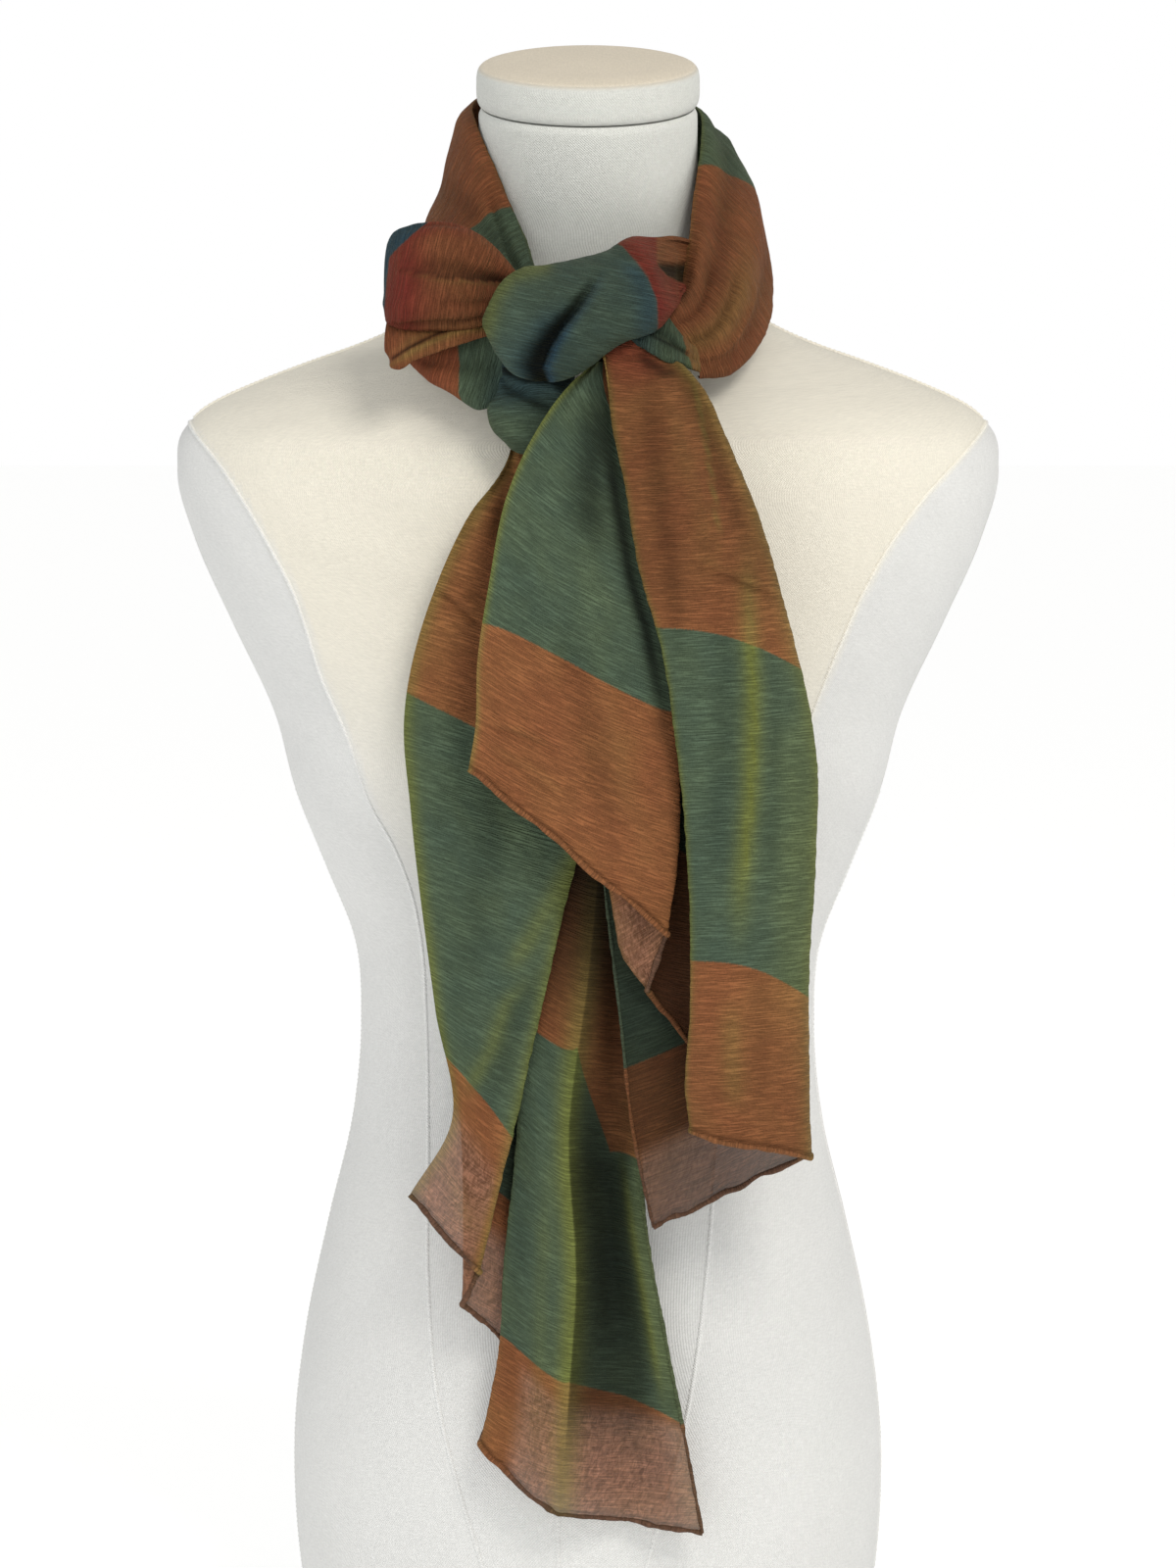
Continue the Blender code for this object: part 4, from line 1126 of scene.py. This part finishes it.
def knot_cross(material):
    """The wide wrap over the knot: a lobe over a sunk hollow, and a red end that turns into a sunk throat,
    both filled with painted shade.
    """
    cloth = padded("scarf_knot_cross", KNOT_CROSS, RIDGES_CROSS, painted_shade=0.16)
    flat = cloth.grid[..., (0, 2)]
    x, z = flat[..., 0], flat[..., 1]
    height, edge, reach, dark = np.array(CROSS_HOLLOW, float).T
    inside = np.interp(z, height, edge) - x
    dark = np.interp(z, height, dark, left=0, right=0)
    fall = np.where(inside > 0, bell(inside, np.interp(z, height, reach)), bell(inside, HOLLOW_LIP))
    cloth.move(dark * fall * HOLLOW_DEPTH, BACK)
    # Painted shade in the hollow under the lobe
    cloth.paint_shade(dark * smooth_step(fall, 0.15, 0.9) * smooth_step(inside, -1.2, 0.2))
    rise = dark * (inside < 0) * bell(inside + 5, 4)
    cloth.press(LOBE_HEIGHT * rise, FORWARD)

    past = x - np.interp(z, *CROSS_RUST)
    red = smooth_step(past, -0.4, 0.4)
    cloth.block = past
    above = smooth_step(z - np.interp(x, *CROSS_THROAT), -0.3, 0.7) * smooth_step(x, 31.5, 33.5)
    # The throat behind the red end: painted shade, and pushed back
    throat = above * smooth_step(z, 671, 666.5)
    cloth.paint_shade(0.96 * throat)
    cloth.move(throat * THROAT_DEPTH, BACK)
    # Painted shade above the throat's edge, and a darker red end
    cloth.paint_shade(0.25 * above + 0.35 * red * (1 - above))
    # Darker right of the middle, except on the red end
    cloth.paint_shade(0.22 * smooth_step(x, -34, -12) * (1 - red))
    cloth.tint[..., 1] = red * (0.95 * (1 - above) + 0.15 * above)
    # A painted highlight along the lit edge of the lobe
    away, _ = distance_to(flat, LOBE_EDGE)
    cloth.paint_golden_sheen(0.95 * bell(away, 5) * (1 - red))
    lit = (inside < 0) * dark * bell(inside + 1, 3.5)
    near_red = bell(past + 4, 6) * (1 - red) * smooth_step(z, 672, 664)
    around = (inside > 0) * bell(inside, 15) * smooth_step(z, 655, 640)
    cloth.tint[..., 2] = np.clip(0.2 * (1 - red) + 0.75 * lit + 0.35 * near_red + 0.4 * around, 0, 1)
    cloth.across, cloth.down = x, z * 1.15 + 0.25 * x
    cloth.crinkle(0.2, seed=41)
    return cloth.add(material, "knot_cross")


def knot_wrap(material):
    """The wrap under it, with a pocket of painted shade over a crest of cloth."""
    cloth = padded("scarf_knot_wrap", KNOT_WRAP, RIDGES_KNOT_WRAP, painted_shade=0.1)
    flat = cloth.grid[..., (0, 2)]
    pocket, _ = distance_to(flat, WRAP_POCKET)
    crest, _ = distance_to(flat, WRAP_CREST)
    cloth.paint_shade(0.93 * bell(pocket, 2.6))
    cloth.press(2.0 * bell(crest, 2.4))
    cloth.tint[..., 2] = 0.55 * smooth_step(cloth.row, 0.75, 0.4)
    # Painted golden sheen along one edge, over its later rows
    cloth.paint_golden_sheen(0.6 * bell((cloth.side + 0.02) * 40, 4) * smooth_step(cloth.row, 0.4, 0.7))
    cloth.crinkle(0.22, seed=51)
    return cloth.add(material, "knot_wrap")


def knot_gather(material):
    """The small stretch from the knot to the right of the neck, creased along its middle."""
    cloth = padded("scarf_knot_gather", KNOT_GATHER, RIDGES_GATHER)
    cloth.block = (cloth.row - 0.72 - 0.2 * cloth.side) * 40
    cloth.tint[..., 2] = 0.4 * smooth_step(cloth.row, 0.5, 0.2)
    # Painted golden sheen towards its far end, and painted shade in the line between its facets
    cloth.paint_golden_sheen(0.5 * smooth_step(cloth.row, 0.7, 1.0))
    facets, _ = distance_to(cloth.grid[..., (0, 2)], GATHER_FACETS)
    cloth.paint_shade(0.75 * bell(facets, 1.0))
    cloth.crinkle(0.18, seed=61)
    return cloth.add(material, "knot_gather")


def loop_fan(material):
    """The doubled end that fans out: navy behind and at its outer edge, crimson beside that, rust inside."""
    cloth = padded("scarf_loop_fan", LOOP_FAN, RIDGES_FAN, painted_shade=0.02)
    flat = cloth.grid[..., (0, 2)]
    x, z = flat[..., 0], flat[..., 1]
    navy = smooth_step(np.interp(z, *FAN_NAVY) - x, -0.4, 0.4)
    behind = smooth_step(cloth.grid[..., 1], -81, -79)
    navy = np.maximum(navy, behind)
    cloth.tint[..., 2] = 0.88 * navy
    cloth.block = np.where(navy > 0.5, -50.0, 50.0)
    outer = smooth_step(-x, 64, 88) + 0.5 * smooth_step(z, 678, 686)
    cloth.tint[..., 1] = np.clip(0.2 + 0.75 * outer, 0, 0.85) * (1 - navy)
    # Painted shade over the fan, and a painted shadow above its long crest; a painted highlight on the crest
    # and a painted sheen along its lower edge
    cloth.paint_shade(0.35 * smooth_step(-x, -42, -30))
    crest, share = distance_to(flat, FAN_CREST)
    over = z > np.interp(x, *np.array(FAN_CREST).T)
    cloth.paint_shade(0.75 * over * (0.35 + 0.65 * share) * bell(crest, 1 + 3.2 * share) * (crest > 0.25))
    cloth.paint_golden_sheen(0.55 * ~over * bell(crest, 1.5) + 0.25 * bell(z - 640, 4))
    cloth.press(1.0 * ~over * bell(crest, 2))
    cloth.crinkle(0.16, seed=71)
    return cloth.add(material, "loop_fan")


def loop_fan_lip(material):
    """The fan's lower edge, rolled up, with painted shade in the hollow over the roll."""
    cloth = padded("scarf_loop_lip", LOOP_FAN_LIP, RIDGES_LIP, cell=0.7, painted_shade=0.2)
    cloth.block[:] = 50
    flat = cloth.grid[..., (0, 2)]
    roll, _ = distance_to(flat, LIP_ROLL)
    over, _ = distance_to(flat, np.array(LIP_ROLL) + (0.8, 3.4))
    cloth.press(1.6 * bell(roll, 2))
    # Painted shade in the hollow over the roll, and on the middle of its upper edge
    cloth.paint_shade(0.8 * bell(over, 1.0))
    cloth.paint_shade(0.8 * smooth_step(flat[..., 1], 636, 642) * smooth_step(flat[..., 0], -80, -66))
    cloth.tint[..., 1] = 0.3 * smooth_step(flat[..., 0], -80, -88)
    # Painted highlights on the roll and beside the hollow
    cloth.paint_golden_sheen(0.4 * bell(roll, 1.6) + 0.25 * bell(over - 2.5, 1.5))
    cloth.crinkle(0.12, seed=81)
    return cloth.add(material, "loop_fan_lip")


def under_band(material):
    """The stretch that passes under the fan, rust and then green."""
    cloth = padded("scarf_under_band", UNDER_BAND, RIDGES_BAND, painted_shade=0.1)
    cloth.block = (0.42 + 0.16 * cloth.side - cloth.row) * 55
    cloth.tint[..., 1] = 0.35 * smooth_step(cloth.block, -0.4, 0.4)
    cloth.tint[..., 2] = 0.25 * smooth_step(cloth.row, 0.7, 1.0)
    cloth.crinkle(0.16, seed=91)
    return cloth.add(material, "under_band")


def knot_fill(material):
    """The crumpled folds of cloth seen far in between the wraps of the knot, darkened with painted shade."""
    low, high = (np.array(corner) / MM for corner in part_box("knot_core"))
    centre, radii = (low + high) / 2, (high - low) / 2 - FILL_GAP
    turn = np.linspace(0, 2 * np.pi, FILL_SIDES + 1)
    rise = np.linspace(-np.pi / 2 + 0.02, np.pi / 2 - 0.02, FILL_ROWS)
    rise, turn = np.meshgrid(rise, turn, indexing="ij")
    out = np.stack([np.cos(turn) * np.cos(rise), np.sin(turn) * np.cos(rise), np.sin(rise)], axis=2)
    crumple = 1 - FILL_CRUMPLE * np.abs(np.sin(5 * turn[:, :, None] + 3 * rise[:, :, None]))
    grid = centre + out * radii * crumple
    points = grid[:, :-1].reshape(-1, 3)
    faces = ring_faces(FILL_ROWS, FILL_SIDES) + flat_ends(FILL_ROWS, FILL_SIDES)
    cloth = np.stack([points[:, 0], points[:, 2], np.full(len(points), -50.0)], axis=1)
    tint = np.tile((0.0, 0.0, 0.5), (len(points), 1))
    # Fully doubled, and painted shade over the whole core
    layers_and_shade = np.tile((1.0, 0.8, 0.0), (len(points), 1))
    attributes = {"cloth": cloth, "tint": tint, "layers_and_shade": layers_and_shade}
    piece = add_mesh("scarf_knot_fill", points, faces, attributes, material)
    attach(piece, "root")
    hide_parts("knot_core")
    return piece


def shade_front(cloth):
    """The panels inside the front tail and more of its stretches are darkened with painted shade, and its
    lower corner and curl are single.
    """
    fold, hem, z = cloth.fold, cloth.hem_down, cloth.grid[..., 2]
    inside = between(fold, (1.9, 2.1), (3.7, 3.92))
    cloth.paint_shade(0.80 * inside)
    curl = between(fold, (1.08, 1.2), (1.9, 2.1))
    cloth.doubled = cloth.doubled - 0.9 * curl * smooth_step(hem, 60, 30)
    cloth.paint_shade(0.85 * curl * smooth_step(hem, 45, 75))
    behind = smooth_step(fold, 5.05, 5.25)
    cloth.doubled = cloth.doubled - 0.75 * behind * smooth_step(hem, 40, 28)
    cloth.paint_shade(0.62 * behind * smooth_step(hem, 28, 40))
    cloth.paint_shade(0.2 * behind + 0.3 * behind * smooth_step(hem, 40, 28))
    cloth.paint_shade(0.14 * smooth_step(z, 350, 290) * smooth_step(fold, 3.95, 4.0) * (1 - behind))
    face = between(fold, (3.95, 4.0), (5.0, 5.05))
    peak = face * smooth_step(z, 606, 630)
    cloth.tint[..., 1] = 0.55 * peak * smooth_step(fold, 4.9, 4.6)
    cloth.paint_shade(0.24 * face * smooth_step(z, 495, 530))
    cloth.paint_shade(0.5 * smooth_step(z, 608, 626) * smooth_step(fold, 3.9, 3.7))


def shade_back(cloth):
    """The valley beside the long fold and more of the tail's stretches are darkened with painted shade, and
    the ends below the last turns of cloth are single.
    """
    fold, hem, z = cloth.fold, cloth.hem_down, cloth.grid[..., 2]
    valley = between(fold, (5.0, 5.06), (6.3, 6.75))
    cloth.paint_shade(0.70 * valley * between(z, (112, 150), (250, 275)))
    inside = smooth_step(fold, 5.0, 5.06)
    cloth.paint_shade(0.55 * inside * smooth_step(z, 250, 275))
    cloth.paint_shade(0.75 * smooth_step(z, 290, 360) * smooth_step(fold, 3.6, 3.9))
    cloth.paint_shade(0.6 * between(fold, (1.1, 1.3), (3.6, 3.9)) * smooth_step(hem, 45, 70))
    cloth.paint_shade(0.8 * smooth_step(fold, 1.05, 1.2) * smooth_step(z, 350, 400))
    corner = smooth_step(fold, 0.86, 0.72) * smooth_step(hem, 52, 34)
    under = between(fold, (1.05, 1.2), (3.8, 4.0)) * smooth_step(hem, 50, 34)
    end = smooth_step(fold, 4.35, 4.55) * smooth_step(hem, 56, 46)
    cloth.doubled = 1 - np.maximum(np.maximum(0.9 * corner, 0.8 * under), 0.9 * end)


def build_scarf():
    cloth_material = chiffon()
    hem_material = chiffon("rolled_hem", hem=True)
    knot_fill(cloth_material)

    neck_wrap(cloth_material)
    for make, key, slot in (
        (knot_cross, "knot_cross", "chiffon_green"),
        (knot_wrap, "knot_wrap", "chiffon_green"),
        (knot_gather, "knot_gather", "chiffon_green"),
        (loop_fan, "loop_fan", "chiffon_rust"),
        (loop_fan_lip, "loop_fan_lip", "chiffon_rust"),
        (under_band, "under_band", "chiffon_green"),
    ):
        make(cloth_material)

    everything = slice(None)
    for key, folds, creases, wide, shade in (
        ("tail_front", TAIL_FRONT, CREASES_FRONT, 4, shade_front),
        ("tail_back", TAIL_BACK, CREASES_BACK, None, shade_back),
    ):
        cloth = pleated(f"scarf_{key}", folds, creases, wide)
        shade(cloth)
        piece = cloth.add(cloth_material, key)
        hems = [
            cloth.hem(f"{key}_hem_end", -1, everything, hem_material, HEM_RADIUS * 1.2),
            cloth.hem(f"{key}_hem_last", everything, -1, hem_material, HEM_RADIUS * 0.8),
        ]


# ---------------------------------------------------------------- the room, in metres
CAMERA_DISTANCE = 2.6
CAMERA_HEIGHT = 0.421
CAMERA_TILT = math.radians(5)
FRAME_HEIGHT = 0.752
SENSOR = 36
WORLD_LIGHT = 0.66
FLOOR_SIZE = 40.0
FLOOR_FINISH = {"Base Color": (0.95, 0.95, 0.94, 1), "Roughness": 0.9, "Specular IOR Level": 0.1,
                "Emission Color": (1, 1, 1, 1), "Emission Strength": 0.36}
LIT_POINT = (0, -0.05, 0.45)
Lamp = namedtuple("Lamp", "name power size colour place")
LAMPS = (
    Lamp("key", 21, 0.7, (1.0, 0.96, 0.90), (0.75, -1.6, 1.9)),
    Lamp("fill", 6, 1.6, (0.95, 0.98, 1.0), (-1.5, -2.0, 0.8)),
)


def build_room():
    """A white floor and world, two soft lamps, and the camera at the height of the form's chest."""
    scene = bpy.context.scene
    scene.view_settings.view_transform = "Standard"
    world = bpy.data.worlds.new("studio")
    world.use_nodes = True
    seen = node(world.node_tree, "ShaderNodeLightPath").outputs["Is Camera Ray"]
    strength = spread(world.node_tree, seen, 0, 1, WORLD_LIGHT, 1.0)
    world.node_tree.links.new(strength, world.node_tree.nodes["Background"].inputs["Strength"])
    world.node_tree.nodes["Background"].inputs["Color"].default_value = (1, 1, 1, 1)
    scene.world = world

    half = FLOOR_SIZE / 2
    mesh = bpy.data.meshes.new("floor")
    corners = [(-half, -half, 0), (half, -half, 0), (half, half, 0), (-half, half, 0)]
    mesh.from_pydata(corners, [], [(0, 1, 2, 3)])
    mesh.materials.append(new_material("floor_white", FLOOR_FINISH)[0])
    floor = bpy.data.objects.new("floor", mesh)
    scene.collection.objects.link(floor)

    for lamp in LAMPS:
        light = bpy.data.lights.new(lamp.name, "AREA")
        light.energy = lamp.power
        light.size = lamp.size
        light.color = lamp.colour
        holder = bpy.data.objects.new(lamp.name, light)
        holder.location = lamp.place
        aim = Vector(LIT_POINT) - Vector(lamp.place)
        holder.rotation_euler = aim.to_track_quat("-Z", "Y").to_euler()
        scene.collection.objects.link(holder)

    camera = bpy.data.objects.new("camera", bpy.data.cameras.new("camera"))
    camera.data.sensor_fit = "VERTICAL"
    camera.data.sensor_height = SENSOR
    camera.data.lens = SENSOR * CAMERA_DISTANCE / FRAME_HEIGHT
    back, up = math.cos(CAMERA_TILT) * CAMERA_DISTANCE, math.sin(CAMERA_TILT) * CAMERA_DISTANCE
    camera.location = (FORM_CENTRE_X * MM, -back, CAMERA_HEIGHT + up)
    camera.rotation_euler = (math.pi / 2 - CAMERA_TILT, 0, 0)
    scene.collection.objects.link(camera)
    scene.camera = camera


def build_form():
    cover = jersey()
    for piece in [dress_form(cover), neck_cap(cover), *form_seams(cover)]:
        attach(piece, "root")


build_room()
build_form()
build_scarf()

bpy.context.view_layer.update()
